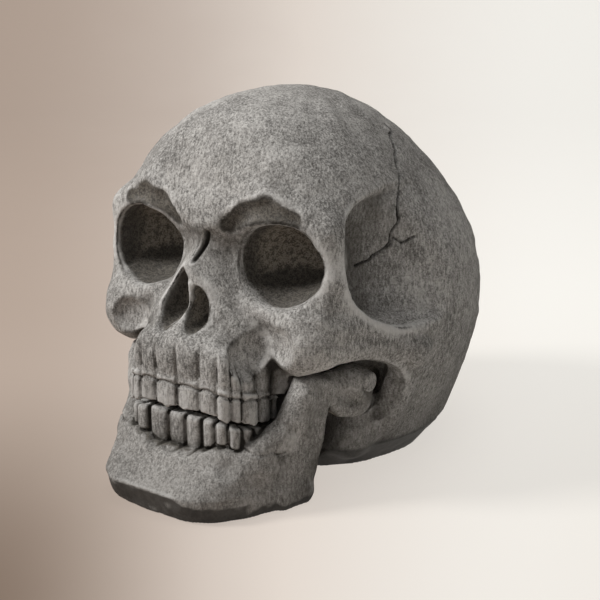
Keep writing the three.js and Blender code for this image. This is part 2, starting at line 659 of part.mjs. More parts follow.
const pivotCap = () => solid(axleDisc(counterboreRadius - FIT_GAP, capSeat, condyleOut));

const skull = new THREE.Group();

function piece(name, shape, material) {
  const mesh = new THREE.Mesh(shape.isBufferGeometry ? shape : geometryOf(shape), material);
  mesh.name = name;
  skull.add(mesh);
}

function pair(name, shape, material) {
  const geometry = geometryOf(shape);
  piece(name + "_left", geometry, material);
  piece(name + "_right", mirrored(geometry), material);
}

piece("cranium_shell", craniumShell(), STONE);
piece("mandible", mandible(), STONE);
pair("pivot_insert", pivotInsert(), BRASS);
pair("pivot_bush", pivotBush(), BUSH_PLASTIC);
pair("pivot_washer", pivotWasher(), STEEL);
pair("pivot_bolt", pivotBolt(), STEEL);
pair("pivot_cap", pivotCap(), STONE);
piece("base_plate", basePlate(), PLATE_PLASTIC);
screwPlaces.forEach((place, i) => piece("base_screw_" + (i + 1), baseScrew(place), STEEL));

const padTop = SOLE_Z - FIT_GAP;
corners.forEach((angle, i) => {
  const { x, y } = onFoot(FOOT_RIM / 2, angle);
  piece("foot_pad_" + (i + 1), uprightDisc(FOOT_PAD_RADIUS, x, y, 0, padTop), RUBBER);
});

const jawPad = onSide(JAW_ANGLE_REACH + JAW_ANGLE_BEVEL + JAW_PAD_RADIUS + OVERLAP, 0, SOLE_Z);
const chinPadY = CHIN_FRONT + CHIN_BEVEL + JAW_PAD_RADIUS + OVERLAP;
piece("jaw_pad_left", uprightDisc(JAW_PAD_RADIUS, jawPad.x, jawPad.y, 0, padTop), RUBBER);
piece("jaw_pad_right", uprightDisc(JAW_PAD_RADIUS, -jawPad.x, jawPad.y, 0, padTop), RUBBER);
piece("jaw_pad_chin", uprightDisc(JAW_PAD_RADIUS, 0, chinPadY, 0, padTop), RUBBER);

// The origin is under the middle of the whole skull, on the table.
const reach = new THREE.Box3().setFromObject(skull);
skull.position.y = -(reach.min.y + reach.max.y) / 2;

const object = new THREE.Group();
object.add(skull);

export default object;
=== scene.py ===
# %% [markdown]
# # A faux-stone skull decoration
#
# This lesson dresses a imported CAD model of a skull ornament. The real thing is two castings in grey faux
# stone: a head with the upper teeth, and a jaw that hangs on it at two hidden bolts. The CAD part gives
# the places, the bodies and the joint; here both castings get their carving and their worn grey finish.
# First the frame is loaded.

# %% Load the frame
import json
import math

import bpy
import numpy as np
from mathutils import Matrix, Vector


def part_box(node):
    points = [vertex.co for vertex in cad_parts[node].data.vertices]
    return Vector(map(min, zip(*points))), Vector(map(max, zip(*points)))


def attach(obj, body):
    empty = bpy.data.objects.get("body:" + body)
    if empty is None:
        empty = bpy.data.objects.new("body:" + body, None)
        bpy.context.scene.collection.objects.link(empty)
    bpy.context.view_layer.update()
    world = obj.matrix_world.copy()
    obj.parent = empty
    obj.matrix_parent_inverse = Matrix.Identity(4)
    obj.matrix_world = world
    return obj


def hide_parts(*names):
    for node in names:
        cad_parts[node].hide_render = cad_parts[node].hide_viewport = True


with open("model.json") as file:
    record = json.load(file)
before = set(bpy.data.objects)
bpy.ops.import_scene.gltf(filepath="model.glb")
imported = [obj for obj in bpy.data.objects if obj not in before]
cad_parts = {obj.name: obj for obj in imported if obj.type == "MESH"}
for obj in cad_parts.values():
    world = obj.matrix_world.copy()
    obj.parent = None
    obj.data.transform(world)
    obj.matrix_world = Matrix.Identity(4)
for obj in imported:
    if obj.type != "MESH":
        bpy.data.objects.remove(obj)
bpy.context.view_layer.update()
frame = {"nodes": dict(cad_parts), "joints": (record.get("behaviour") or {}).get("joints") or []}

scene = bpy.context.scene
hinge = frame["joints"][0]

# %% [markdown]
# ## How the castings are shaped
#
# A carved skull has no straight edge to start a box model from. It could be sculpted by hand with brushes,
# but a script needs something it can repeat. So the stone is written as a distance: a function that says
# how far a point is from the surface, negative inside. Eggs, rods and blocks are joined and cut with soft
# seams, much as clay is, and the surface is drawn afterwards where the distance is zero.
# Millimetres are used here, with the face towards -Y, the table at zero and the middle of the face at x 0.

# %% Plain forms as distances
def turned(degrees):
    """Matrix that turns a form about X, then Y, then Z."""
    a, b, c = np.radians(degrees)
    about_x = np.array([[1, 0, 0], [0, np.cos(a), -np.sin(a)], [0, np.sin(a), np.cos(a)]])
    about_y = np.array([[np.cos(b), 0, np.sin(b)], [0, 1, 0], [-np.sin(b), 0, np.cos(b)]])
    about_z = np.array([[np.cos(c), -np.sin(c), 0], [np.sin(c), np.cos(c), 0], [0, 0, 1]])
    return (about_z @ about_y @ about_x).astype(np.float32)


def length(v):
    """Length of each row."""
    return np.sqrt(np.einsum("ij,ij->i", v, v))


def settle(p, at, turn):
    """Points as the form at that place and turn sees them."""
    q = p - np.asarray(at, np.float32)
    return q if turn is None else q @ turned(turn)


def egg(p, at, radii, turn=None):
    """Ellipsoid, near enough a distance close to its surface."""
    q = settle(p, at, turn) / np.asarray(radii, np.float32)
    far = length(q)
    return far * (far - 1) / np.maximum(length(q / np.asarray(radii, np.float32)), 1e-6)


def rod(p, a, b, ra, rb):
    """Round bar from a to b, with a radius at each end."""
    a, b = np.asarray(a, np.float32), np.asarray(b, np.float32)
    t = np.clip(((p - a) @ (b - a)) / ((b - a) @ (b - a)), 0, 1)
    return length(p - a - t[:, None] * (b - a)) - (ra + (rb - ra) * t)


def block(p, at, half, soft, turn=None):
    """Box of those half lengths with rounded edges."""
    q = np.abs(settle(p, at, turn)) - (np.asarray(half, np.float32) - soft)
    return length(np.maximum(q, 0)) + np.minimum(q.max(1), 0) - soft


def plane(p, at, normal):
    """Half space behind a plane."""
    normal = np.asarray(normal, np.float32)
    return (p - np.asarray(at, np.float32)) @ (normal / np.linalg.norm(normal))


print("forms: egg, rod, block, plane")

# %% Joining and cutting them
def join(a, b, seam):
    """Both forms, with a soft seam of that width."""
    h = np.maximum(seam - np.abs(a - b), 0) / seam
    return np.minimum(a, b) - h * h * seam * 0.25


def cut(a, b, seam):
    """The first form without the second."""
    return -join(-a, b, seam)


def bar(p, points, radii, seam=3.0):
    """Rods end to end."""
    ends = zip(points, points[1:], radii, radii[1:])
    d = None
    for a, b, ra, rb in ends:
        d = rod(p, a, b, ra, rb) if d is None else join(d, rod(p, a, b, ra, rb), seam)
    return d


def swell(t, width):
    """1 at zero, falling softly to 0 at the width."""
    return (1 - np.clip(np.abs(t) / width, 0, 1) ** 2) ** 2


def slab(side, z, low, high, soft):
    """A flat outline given as a distance, raised between two heights."""
    over = np.abs(z - (low + high) / 2) - ((high - low) / 2 - soft)
    side = side + soft
    out = np.hypot(np.maximum(side, 0), np.maximum(over, 0))
    return out + np.minimum(np.maximum(side, over), 0) - soft


def mirrored(p):
    """Points folded onto the +X side, so that one form makes two."""
    return np.column_stack([np.abs(p[:, 0]), p[:, 1], p[:, 2]])


NOISE_SIDE = 32
NOISE = np.random.default_rng(11).uniform(-1, 1, (NOISE_SIDE,) * 3).astype(np.float32)
HUMP_HEIGHTS = (0.6, 0.4, 0.14)


def lumps(p, size):
    """Smooth unevenness between -1 and 1, as a hand leaves it, with humps of that size."""
    q = p / size + 100
    i = np.floor(q).astype(int)
    f = q - i
    f = f * f * (3 - 2 * f)
    total = 0
    for corner in range(8):
        c = np.array([corner & 1, corner >> 1 & 1, corner >> 2])
        k = (i + c) % NOISE_SIDE
        total = total + NOISE[k[:, 0], k[:, 1], k[:, 2]] * np.prod(np.where(c, f, 1 - f), axis=1)
    return total


def handled(p, d, sizes):
    """The form with the humps that a hand leaves on it, from broad ones to small ones."""
    for height, size in zip(HUMP_HEIGHTS, sizes):
        d = d - height * lumps(p, size)
    return d


print("noise table", NOISE.shape)

# %% [markdown]
# ## The teeth
#
# Each row of teeth follows one line in plan: straight across the front, round a corner on each side and
# back. A point is measured along that line and out from it, and then a tooth is only a rounded box between
# two marks. The upper row is even on both sides. In the lower row one tooth stands near the middle line.
# Both rows stand a little to one side of the head's middle, and they sink towards the back.

# %% Tooth rows
ROW_FRONT, ROW_HALF, ROW_CORNER, ROW_ASIDE = -82.0, 33.5, 15.0, 2.0
SINK_FROM, SINK_SLOPE = 18, 0.2
GUM_LINE_WIDTH = 1.1
UPPER_MARKS = np.array([-61, -54.5, -44.5, -34.5, -29, -22, -12, 0, 12, 22, 29, 34.5, 44.5, 54.5, 61])
LOWER_MARKS = np.array([-47, -40, -33, -25, -16.5, -5.5, 4.5, 13.5, 20.5, 27.5, 34.5, 41.5, 48])


def along_row(p):
    """Distance along the tooth row from its middle, and distance out from it."""
    flat = ROW_HALF - ROW_CORNER
    x = p[:, 0] - ROW_ASIDE
    side, back = np.abs(x) - flat, ROW_FRONT + ROW_CORNER - p[:, 1]
    corner = np.arctan2(np.maximum(side, 0), np.maximum(back, 1e-6))
    run = np.where(side <= 0, flat + side, flat + ROW_CORNER * corner)
    out = np.where(side <= 0, back, np.hypot(np.maximum(side, 0), np.maximum(back, 0))) - ROW_CORNER
    cheek = (back <= 0) & (side > 0)
    run = np.where(cheek, flat + ROW_CORNER * math.pi / 2 - back, run)
    out = np.where(cheek, side - ROW_CORNER, out)
    return run * np.sign(x + 1e-9), out


def ease(t):
    """From 0 to 1 with a soft start and end."""
    t = np.clip(t, 0, 1)
    return t * t * (3 - 2 * t)


def bent(p):
    """Points as an even row sees them, though the row sinks towards the back."""
    sink = SINK_SLOPE * np.clip(np.abs(along_row(p)[0]) - SINK_FROM, 0, 40)
    return np.column_stack([p[:, :2], p[:, 2] + sink])


def tooth_at(run, marks):
    """Number of the tooth at that place, distance from its middle, and half its width."""
    i = np.clip(np.searchsorted(marks, run) - 1, 0, len(marks) - 2)
    left, right = marks[i], marks[i + 1]
    return i, run - (left + right) / 2, (right - left) / 2


def crowns(p, marks, low, high, gap, soft, thick=7.5):
    """One rounded box for each tooth, none quite as long or as flat as the next."""
    run, out = along_row(p)
    i, off, half = tooth_at(run, marks)
    uneven = ((i * 37) % 11) / 11.0 - 0.5
    low = low + uneven * 1.6
    half = half - gap / 2 - 0.25
    soft = np.minimum(soft, half - 0.3)
    curve = 1.1 * np.clip(off / half, -1, 1) ** 2 + uneven * 1.2
    q = np.column_stack([
        np.abs(off) - (half - soft),
        np.abs(out + thick / 2 + curve) - (thick / 2 - soft),
        np.abs(p[:, 2] - (low + high) / 2) - ((high - low) / 2 - soft)])
    return length(np.maximum(q, 0)) + np.minimum(q.max(1), 0) - soft


def root_ridges(p, marks, low, high, height):
    """How far the bone swells over the tooth roots."""
    run, out = along_row(p)
    i, off, half = tooth_at(run, marks)
    tall = low + (high - low) * (1 - 0.25 * ((i * 53) % 7) / 7.0)
    fade = np.clip((p[:, 2] - low) / 3, 0, 1) * np.clip((tall - p[:, 2]) / 8, 0, 1)
    fade = fade * np.clip(1 - np.abs(out + 2) / 12, 0, 1)
    return height * (np.sqrt(np.clip(1 - (off / half) ** 2, 0, 1)) - 0.55) * fade


def gum_line(p, marks, z, arch):
    """1 along the scalloped line where the crowns leave the gum."""
    run, out = along_row(p)
    off, half = tooth_at(run, marks)[1:]
    line = z - arch * np.clip(off / half, -1, 1) ** 2
    on_row = np.clip((out + 9) / 4, 0, 1) * (np.abs(run) < marks.max())
    return swell(p[:, 2] - line, GUM_LINE_WIDTH) * on_row


print(len(UPPER_MARKS) - 1, "upper teeth and", len(LOWER_MARKS) - 1, "lower teeth")

# %% [markdown]
# ## The head casting
#
# The braincase is one big leaning egg that stands on a flat foot with a chamfered rim. The face is set into
# its front as a flat mask, so that both eye sockets lie in one plane, and the bones are laid on it: brows,
# socket rims, cheeks, the arch over the jaw joint, the nose bones and the gum. Then the hollows are cut.

# %% Braincase and face bones
SOLE_Z = 0.4
FOOT_HALF_X, FOOT_HALF_Y, FOOT_MIDDLE_Y = 56, 57, 34
BRAIN_EGG = ((0, 22.5, 83.5), (86, 104.5, 89), (-42, 0, 0))
FOREHEAD = ((0, -12, 125), (58, 42, 39))
BROW = ([(9, -50, 128), (32, -50, 135), (54.5, -43, 127)], [6.5, 7, 4])
OUTER_RIM = ([(57, -43, 124), (59, -43, 105), (56, -46, 90)], [5, 4.5, 6])
LOWER_RIM = ((24, -54, 89), (48, -50, 86), 6, 6)
CHEEK = ((50, -50, 76.5), (15.5, 12, 15), (0, 0, 25))
ARCH_EDGE = ([(61, -43, 83), (70, -20, 81), (80, 4, 77)], [6, 5, 6])
ARCH = ([(57, -46, 73), (70, -22, 73), (79, -3, 68)], [8.5, 5.5, 6])
ARCH_ROOT = ((79, -2, 66), (6.5, 7, 8))


def foot(p):
    """The flat foot, an oval that widens upwards from its chamfered rim."""
    z = p[:, 2]
    wide = 1 + (np.clip(z - SOLE_Z, 0, 13) * 0.8 + np.clip(z - 12, 0, 40) * 0.12) / FOOT_HALF_X
    oval = np.hypot(p[:, 0] / FOOT_HALF_X, (p[:, 1] - FOOT_MIDDLE_Y) / FOOT_HALF_Y)
    return np.maximum((oval - wide) * 52, z - 40)


def braincase(p):
    """One leaning egg, narrower towards the crown, on its foot, cut back to the plane of the face."""
    crown = ease((p[:, 2] - 100) / 72)
    lean = 5 * crown * np.clip((60 - p[:, 1]) / 90, 0, 1)
    q = np.column_stack([p[:, 0] * (1 + 0.155 * crown), p[:, 1] + lean, p[:, 2]])
    d = egg(q, *BRAIN_EGG)
    d = join(d, foot(p), 10)
    d = join(d, egg(p, *FOREHEAD), 20)
    d = cut(d, -plane(p, (0, -58, 132), (0, -1, 0.25)), 12)
    return cut(d, np.maximum(p[:, 1] + 50, p[:, 2] - 131 + 8 * swell(p[:, 0], 17)), 8)


def nose_roof(p):
    """The nose bones: two planes that meet in a ridge, cut off in front by the edge of the nose opening."""
    q = np.column_stack([np.hypot(p[:, 0], 2.5), p[:, 1], p[:, 2]])
    d = plane(q, (2, -52, 126), (0.705, -0.512, 0.49))
    d = cut(d, -plane(p, (0, -68.5, 108), (0, -1, -0.12)), 3)
    return np.maximum(d, np.maximum(p[:, 1] + 25, 72 - p[:, 2]))


def face_bones(p, m, d):
    """The mask of the face and its bones, laid on the braincase."""
    d = join(d, block(m, (0, -24, 103), (60, 26, 32), 12), 8)
    d = join(d, bar(m, *BROW), 9)
    d = join(d, bar(m, *OUTER_RIM), 6)
    d = join(d, egg(m, *CHEEK), 8)
    d = join(d, rod(m, *LOWER_RIM), 7)
    d = join(d, bar(m, *ARCH_EDGE), 4)
    d = join(d, bar(m, *ARCH), 3)
    d = join(d, egg(m, *ARCH_ROOT), 3)
    d = join(d, nose_roof(p), 5)
    d = join(d, egg(p, (0, -48, 127), (18, 10, 13)), 7)
    d = join(d, np.maximum(egg(p, (0, -44, 70), (34, 36, 24)), p[:, 1] + 20), 8)
    gum = slab(along_row(p)[1] + 2.2, bent(p)[:, 2], 54, 77, 5)
    return join(d, np.maximum(gum, p[:, 1] + 35), 8)


print("foot", 2 * FOOT_HALF_X, "x", 2 * FOOT_HALF_Y, "mm on the table")

# %% Hollows of the head
TEMPLE_CRACK = [(35, 161), (24, 154), (11, 146), (7, 141), (1, 133), (-1, 127), (-2, 121), (-4, 114.5),
                (-7, 110), (-11, 107), (-17, 106)]
TEMPLE_BRANCH = [(-2, 116.5), (1.5, 114.5), (7, 116.5)]
NOSE_SLIT = [(4, 122), (2.5, 116), (1, 110)]
CRACK_WIDTH, SLIT_WIDTH, CRACK_WANDER = 0.95, 1.6, 1.3


def near_line(p, points):
    """Distance to a line of straight runs, in as many directions as its points have."""
    points = np.array(points, np.float32)
    return np.minimum.reduce([rod(p, a, b, 0, 0) for a, b in zip(points, points[1:])])


def head_crack(p):
    """1 in the middle of a crack of the head, 0 away from it."""
    side = p[:, 1:] + np.column_stack([lumps(p + 31, 5), lumps(p + 57, 5)]) * CRACK_WANDER
    off = np.minimum(near_line(side, TEMPLE_CRACK), near_line(side, TEMPLE_BRANCH))
    crack = swell(off, CRACK_WIDTH) * (p[:, 0] > 30)
    slit = swell(near_line(p[:, ::2], NOSE_SLIT), SLIT_WIDTH) * (p[:, 1] < -40)
    return np.maximum(crack, slit)


SOCKET = ((37.6, -54, 110.0), (21.2, 33, 18.6))
BROW_SCOOP = ([(15, -58.5, 126), (24, -60.5, 133), (35, -60, 136), (46, -55, 132)], [3, 4.5, 5, 3.5])
NOSTRILS = [((4.8, -76, 89.5), (5.6, 22, 10.5), (0, -10, 0)), ((-8, -76, 93), (8.4, 22, 15), (0, 12, 0))]
TEMPLE = ((78, -10, 110.5), (12, 34, 30.5), (0, 0, -34))
TEMPLE_STEP = 4.2
CHEEK_FOSSA = ((40, -70.5, 73.5), (15, 13, 16), (-36, -12, 0))
UNDER_CHEEK = ((62, -34, 44), (24, 36, 22))
MOUTH_ROOM = ((0, -36, 28), (60, 32, 28))
MASTOID_FRONT = ((51, -9, 26), (10, 10, 19), (0, 12, 0))
MASTOID_BACK = ((65, 1, 40), (8, 9, 21), (0, 15, 0))
MASTOID_MIDDLE, MASTOID_REACH = np.array((58, -6, 32)), np.array((16, 16, 26))
EAR_GROOVE, EAR_GROOVE_WIDTH, EAR_GROOVE_DEPTH = [(63, -4, 56), (60, -5, 45)], 4.0, 2.0
SEPTUM = ([(0.5, -67, 100), (0, -65, 92.5), (-3, -66, 85), (-8, -71, 78.5)], [1.2, 1.0, 1.0, 1.6])


def temple_field(m):
    """How far the field of the temple lies below the bone round it: a step in front, nothing at the back."""
    y, z = np.abs(m[:, 1] - 6) / 48, np.abs(m[:, 2] - 110.5) / 31.5
    inside = 1 - (y ** 2.8 + z ** 2.8) ** (1 / 2.8)
    return TEMPLE_STEP * ease(inside * 6) * ease((28 - m[:, 1]) / 46) * (m[:, 0] > 35)


def nostrils(p):
    """The two uneven halves of the nose opening."""
    return np.minimum(egg(p, *NOSTRILS[0]), egg(p, *NOSTRILS[1]))


def head_hollows(p, m, d):
    """Temples, brow scoops, sockets, nose, the hollows round the jaw, and the rough lumps behind it."""
    socket = egg(m, *SOCKET)
    temple = egg(m, *TEMPLE)
    d = cut(d, np.maximum(temple, 4.5 - socket), 5)
    d = d - 0.9 * lumps(p, 9) * np.clip(1 - np.abs(temple) / 6, 0, 1)
    d = d + temple_field(m) * np.clip((socket - 3) / 5, 0, 1)
    d = cut(d, bar(m, *BROW_SCOOP), 3)
    d = cut(d, socket, 2)
    d = cut(d, nostrils(p), 1.2)
    d = join(d, bar(p, *SEPTUM), 1.5)
    below = egg(m, *UNDER_CHEEK)
    d = cut(d, np.maximum(egg(m, *CHEEK_FOSSA), 6 - below), 1.5)
    d = cut(d, below, 4)
    d = cut(d, egg(p, *MOUTH_ROOM), 6)
    rough = 1.2 * lumps(p, 6) * np.clip(1 - length((m - MASTOID_MIDDLE) / MASTOID_REACH), 0, 1)
    d = join(d, egg(m, *MASTOID_FRONT), 6)
    d = join(d, egg(m, *MASTOID_BACK), 5) - rough
    return d + EAR_GROOVE_DEPTH * swell(near_line(m, EAR_GROOVE), EAR_GROOVE_WIDTH)


print(len(TEMPLE_CRACK), "points in the long crack")

# %% [markdown]
# ## The jaw casting
#
# The jaw is a broad chin on a flat sole with a bevelled rim, a plate that rises on each side, and a lobe
# that runs back from each plate to the joint. Seen from above, the chin's outline is a rounded square.
# The casting is not quite even: the plate on the far side of the view stands further in.

# %% Jaw form
CHIN_BACK = -40
CHIN_HALF = 45


def chin_outline(p, half, front, square):
    """Distance out from a rounded square that is open to the back."""
    x, y = np.abs(p[:, 0]) / half, np.maximum(CHIN_BACK - p[:, 1], 0) / (CHIN_BACK - front)
    return ((x ** square + y ** square) ** (1 / square) - 1) * 50


def jaw_body(p):
    """The chin and its sides: one outline at the bevel, a smaller one at the gum, and the sole's own."""
    y, z = p[:, 1], p[:, 2]
    rise = np.clip((z - 12) / 20, 0, 1)
    low, high = chin_outline(p, CHIN_HALF, -101, 2.8), chin_outline(p, 42.5, -85.5, 2.6)
    d = np.maximum(low * (1 - rise) + high * rise, y + 40.5)
    d = cut(d, 28.5 + 3.5 * ease((np.abs(along_row(p)[0]) - 8) / 18) - z, 4)
    front = 0.55 + 0.45 * swell(p[:, 0] + 10, 45)
    bevel = low + 3.4 * front - (z - SOLE_Z) * 0.25
    return np.maximum(d, np.where(y < -45, bevel * 0.9, -9))


CHIN_RIDGE = ([(20, -92, 9), (27, -84, 17), (38, -70, 22)], [3, 3, 3])
CHIN_PIT, CHIN_PIT_WIDTH, CHIN_PIT_DEPTH = np.array((30, -83, 22)), 7, 1.8
JAW_EDGE = ([(36, -72, 5), (43, -60, 5), (48, -49, 5)], [4, 4.5, 4.5])
JAW_SIDE = ((40, -56, 20), (5, 14, 12), 4, (0, 0, -16))
RAMUS = ((47, -48.5, 30), (5.5, 9.5, 30), 3, (-14, 3, -16))
FAR_RAMUS_IN = 5.0
MOUTH_CORNER = ([(50, -52, 52), (47, -56, 43), (42, -62, 35), (37, -69, 27)], [3.5, 4, 4.5, 4.5])
LOBE = ((55, -27, 46.5), (5.5, 18, 10.5), (-28, 0, -22))
LOBE_HOLLOW = ((62.5, -29, 46), (4.5, 8, 5), (-28, 0, -22))
CONDYLE = ((55, -19, 52), (60, -19, 52), 6.2, 6.2)
CONDYLE_END = 64.6
LOWER_TIP, LOWER_ROW_BACK = 43.3, -42
JAW_HUMP_SIZES = (13, 5, 3)


def jaw(p):
    """The whole jaw: chin, side plates, lobes to the joint, and the lower teeth."""
    m, y, z = mirrored(p), p[:, 1], p[:, 2]
    run, out = along_row(p)
    d = jaw_body(p)
    uneven = m + np.where(p[:, :1] < 0, FAR_RAMUS_IN, 0.0) * np.array((1, 0, 0))
    d = join(d, block(uneven, *RAMUS), 9)
    d = join(d, block(m, *JAW_SIDE), 6)
    d = join(d, bar(uneven, *MOUTH_CORNER), 8)
    d = join(d, bar(m, *CHIN_RIDGE), 9)
    d = join(d, bar(m, *JAW_EDGE), 6)
    d = cut(d, -plane(p, (0, -43, 16), (0, 1, -0.35)), 2)
    d = join(d, egg(m, *LOBE), 1.5)
    d = cut(d, egg(m, *LOBE_HOLLOW), 3)
    d = join(d, rod(m, *CONDYLE), 9)
    d = d + CHIN_PIT_DEPTH * swell(length(m - CHIN_PIT), CHIN_PIT_WIDTH)
    d = np.maximum(d, m[:, 0] - CONDYLE_END)
    d = handled(p, d, JAW_HUMP_SIZES)
    q = bent(p)
    gum = 26 + 6 * ease((np.abs(run) - 8) / 18)
    row = np.maximum(crowns(q, LOWER_MARKS, gum + 1.2, LOWER_TIP, 0.8, 1.3), y - LOWER_ROW_BACK)
    row = join(row, np.maximum(slab(out + 2.2, q[:, 2], 24, 42, 1), y - LOWER_ROW_BACK), 0.6)
    d = join(d, row, 0.6) + 0.6 * gum_line(q, LOWER_MARKS, gum + 0.8, -2.0) * (y < -60)
    d = cut(d, slab(out + 17, z, -9, 60, 2), 3)
    d = cut(d, slab(out + 12.5, z, 30, 60, 1), 1)
    return np.maximum(d, SOLE_Z - z)


print("chin", 2 * CHIN_HALF, "mm wide at its bevel")

# %% [markdown]
# ## Room for the jaw
#
# The jaw has to swing without touching the head. So the head is cut once more, by the jaw itself, turned
# to several angles of its range and grown by a small gap.

# %% Head with room for the jaw
HINGE_Y, HINGE_Z = -19.0, hinge["pos_m"][2] * 1000
SHIFT_Y = hinge["pos_m"][1] * 1000 - HINGE_Y
SWING = np.linspace(*hinge["range_deg"], 6)
ROOM = 1.1
BOSS = ((28, HINGE_Y, HINGE_Z), (46, HINGE_Y, HINGE_Z), 7.5, 7.5)
BOSS_END = 49.5
UPPER_TIP, UPPER_ROW_BACK = 45.5, -38
HEAD_HUMP_SIZES = (16, 6, 3)
CRACK_DEPTH = 1.3
PLATE_HALF = (39.3, 40.3)
PLATE_TOP = 5.3


def jaw_room(p):
    """Distance to the jaw at any angle of its swing."""
    d = np.full(len(p), 30.0)
    near = np.flatnonzero((p[:, 2] < 90) & (p[:, 1] < 15) & (np.abs(p[:, 0]) < 80))
    for angle in np.radians(SWING):
        q = p[near].copy()
        y, z = q[:, 1] - HINGE_Y, q[:, 2] - HINGE_Z
        q[:, 1] = HINGE_Y + y * math.cos(angle) + z * math.sin(angle)
        q[:, 2] = HINGE_Z - y * math.sin(angle) + z * math.cos(angle)
        d[near] = np.minimum(d[near], jaw(q))
    return d


def head(p):
    """The whole head, with the upper teeth and without the room that the jaw and the plate need."""
    m, y, z = mirrored(p), p[:, 1], p[:, 2]
    q = bent(p)
    d = head_hollows(p, m, face_bones(p, m, braincase(p)))
    d = join(d, np.maximum(rod(m, *BOSS), m[:, 0] - BOSS_END), 3)
    d = d - root_ridges(q, UPPER_MARKS, 54, 79, 2.8)
    d = handled(p, d, HEAD_HUMP_SIZES) + CRACK_DEPTH * head_crack(p)
    row = np.maximum(crowns(q, UPPER_MARKS, UPPER_TIP, 60, 0.1, 1.1), y - UPPER_ROW_BACK)
    core = slab(along_row(p)[1] + 1.9, q[:, 2], 46.8, 62, 1)
    row = join(row, np.maximum(core, y - UPPER_ROW_BACK), 0.6)
    d = join(d, row, 0.6) + 1.1 * gum_line(q, UPPER_MARKS, 57.5, 1.8) * (y < -40)
    d = np.maximum(d, ROOM - jaw_room(p))
    plate = np.maximum(np.abs(p[:, 0]) - PLATE_HALF[0], np.abs(y - FOOT_MIDDLE_Y) - PLATE_HALF[1])
    d = np.maximum(d, -np.maximum(plate, z - PLATE_TOP))
    return np.maximum(d, SOLE_Z - z)


print("swing", SWING.round(1).tolist(), "degrees, shift", round(SHIFT_Y, 3), "mm")

# %% [markdown]
# ## From distance to mesh
#
# Blender could mesh such a field with its Remesh modifier, from a rough cage, but thin teeth gaps would
# be lost. Here the distance is taken on a grid, only in the small blocks that the surface passes through.
# Each cell that the surface crosses gets one point, and each crossed grid edge one quad. Every point is
# then moved onto the surface. Decimate thins the flat areas at the end.

# %% Drawing the surface
STEP = 0.8
BLOCK = 4
HEAD_TRIANGLES, JAW_TRIANGLES = 196000, 150000


def in_parts(field, p, size=120000):
    """The field at many points, some at a time to spare memory."""
    return np.concatenate([field(p[i:i + size]) for i in range(0, len(p), size)])


def sampled(field, low, high, step):
    """The field on a grid of that step, exact only near its surface."""
    low = np.asarray(low, float)
    blocks = np.ceil((np.asarray(high) - low) / (BLOCK * step)).astype(int)
    place = np.stack(np.meshgrid(*[np.arange(n) for n in blocks], indexing="ij"), -1).reshape(-1, 3)
    middle = in_parts(field, (low + (place * BLOCK + BLOCK // 2) * step).astype(np.float32))
    grid = np.where(middle > 0, 9, -9).astype(np.float32).reshape(blocks)
    grid = grid.repeat(BLOCK, 0).repeat(BLOCK, 1).repeat(BLOCK, 2)
    close = place[np.abs(middle) < 6 * step + 1.5] * BLOCK
    inner = np.stack(np.meshgrid(*[np.arange(BLOCK)] * 3, indexing="ij"), -1).reshape(-1, 3)
    index = (close[:, None] + inner[None]).reshape(-1, 3)
    grid[tuple(index.T)] = in_parts(field, (low + index * step).astype(np.float32))
    return grid


def slope(field, p, e=0.35):
    """The field and its direction of growth at each point."""
    g = 0
    for corner in ((1, 1, 1), (1, -1, -1), (-1, 1, -1), (-1, -1, 1)):
        k = np.array(corner, np.float32)
        g = g + k * in_parts(field, p + e * k)[:, None]
    return in_parts(field, p), g / np.maximum(length(g), 1e-6)[:, None]


def surface(field, low, high, step):
    """Points and quads of the zero surface."""
    grid = sampled(field, low, high, step)
    inside = grid < 0
    cells = tuple(n - 1 for n in grid.shape)
    corners = [np.array([c & 1, c >> 1 & 1, c >> 2]) for c in range(8)]
    view = [tuple(slice(o, o + n) for o, n in zip(c, cells)) for c in corners]
    count = sum(inside[v].astype(np.int8) for v in view)
    crossed = np.argwhere((count > 0) & (count < 8))
    number = np.full(cells, -1, np.int64)
    number[tuple(crossed.T)] = np.arange(len(crossed))
    value = [grid[tuple((crossed + c).T)] for c in corners]
    total, hits = np.zeros((len(crossed), 3)), np.zeros(len(crossed))
    for a in range(8):
        for axis in range(3):
            b = a | 1 << axis
            if b == a:
                continue
            flips = (value[a] < 0) != (value[b] < 0)
            t = np.where(flips, value[a] / np.where(flips, value[a] - value[b], 1), 0)
            spot = corners[a] + t[:, None] * (corners[b] - corners[a])
            total += spot * flips[:, None]
            hits += flips
    points = np.asarray(low) + (crossed + total / hits[:, None]) * step
    quads = []
    for axis in range(3):
        u, v = (axis + 1) % 3, (axis + 2) % 3
        first = [slice(1, -1)] * 3
        first[axis] = slice(0, -1)
        second = list(first)
        second[axis] = slice(1, None)
        a, b = inside[tuple(first)], inside[tuple(second)]
        at = np.argwhere(a != b)
        start = at.copy()
        start[:, u] += 1
        start[:, v] += 1
        ring = []
        for du, dv in ((-1, -1), (0, -1), (0, 0), (-1, 0)):
            c = start.copy()
            c[:, u] += du
            c[:, v] += dv
            ring.append(number[tuple(c.T)])
        ring = np.stack(ring, 1)
        back = ~a[tuple(at.T)]
        ring[back] = ring[back][:, ::-1]
        quads.append(ring)
    return points.astype(np.float32), np.concatenate(quads)


print("grid step", STEP, "mm")

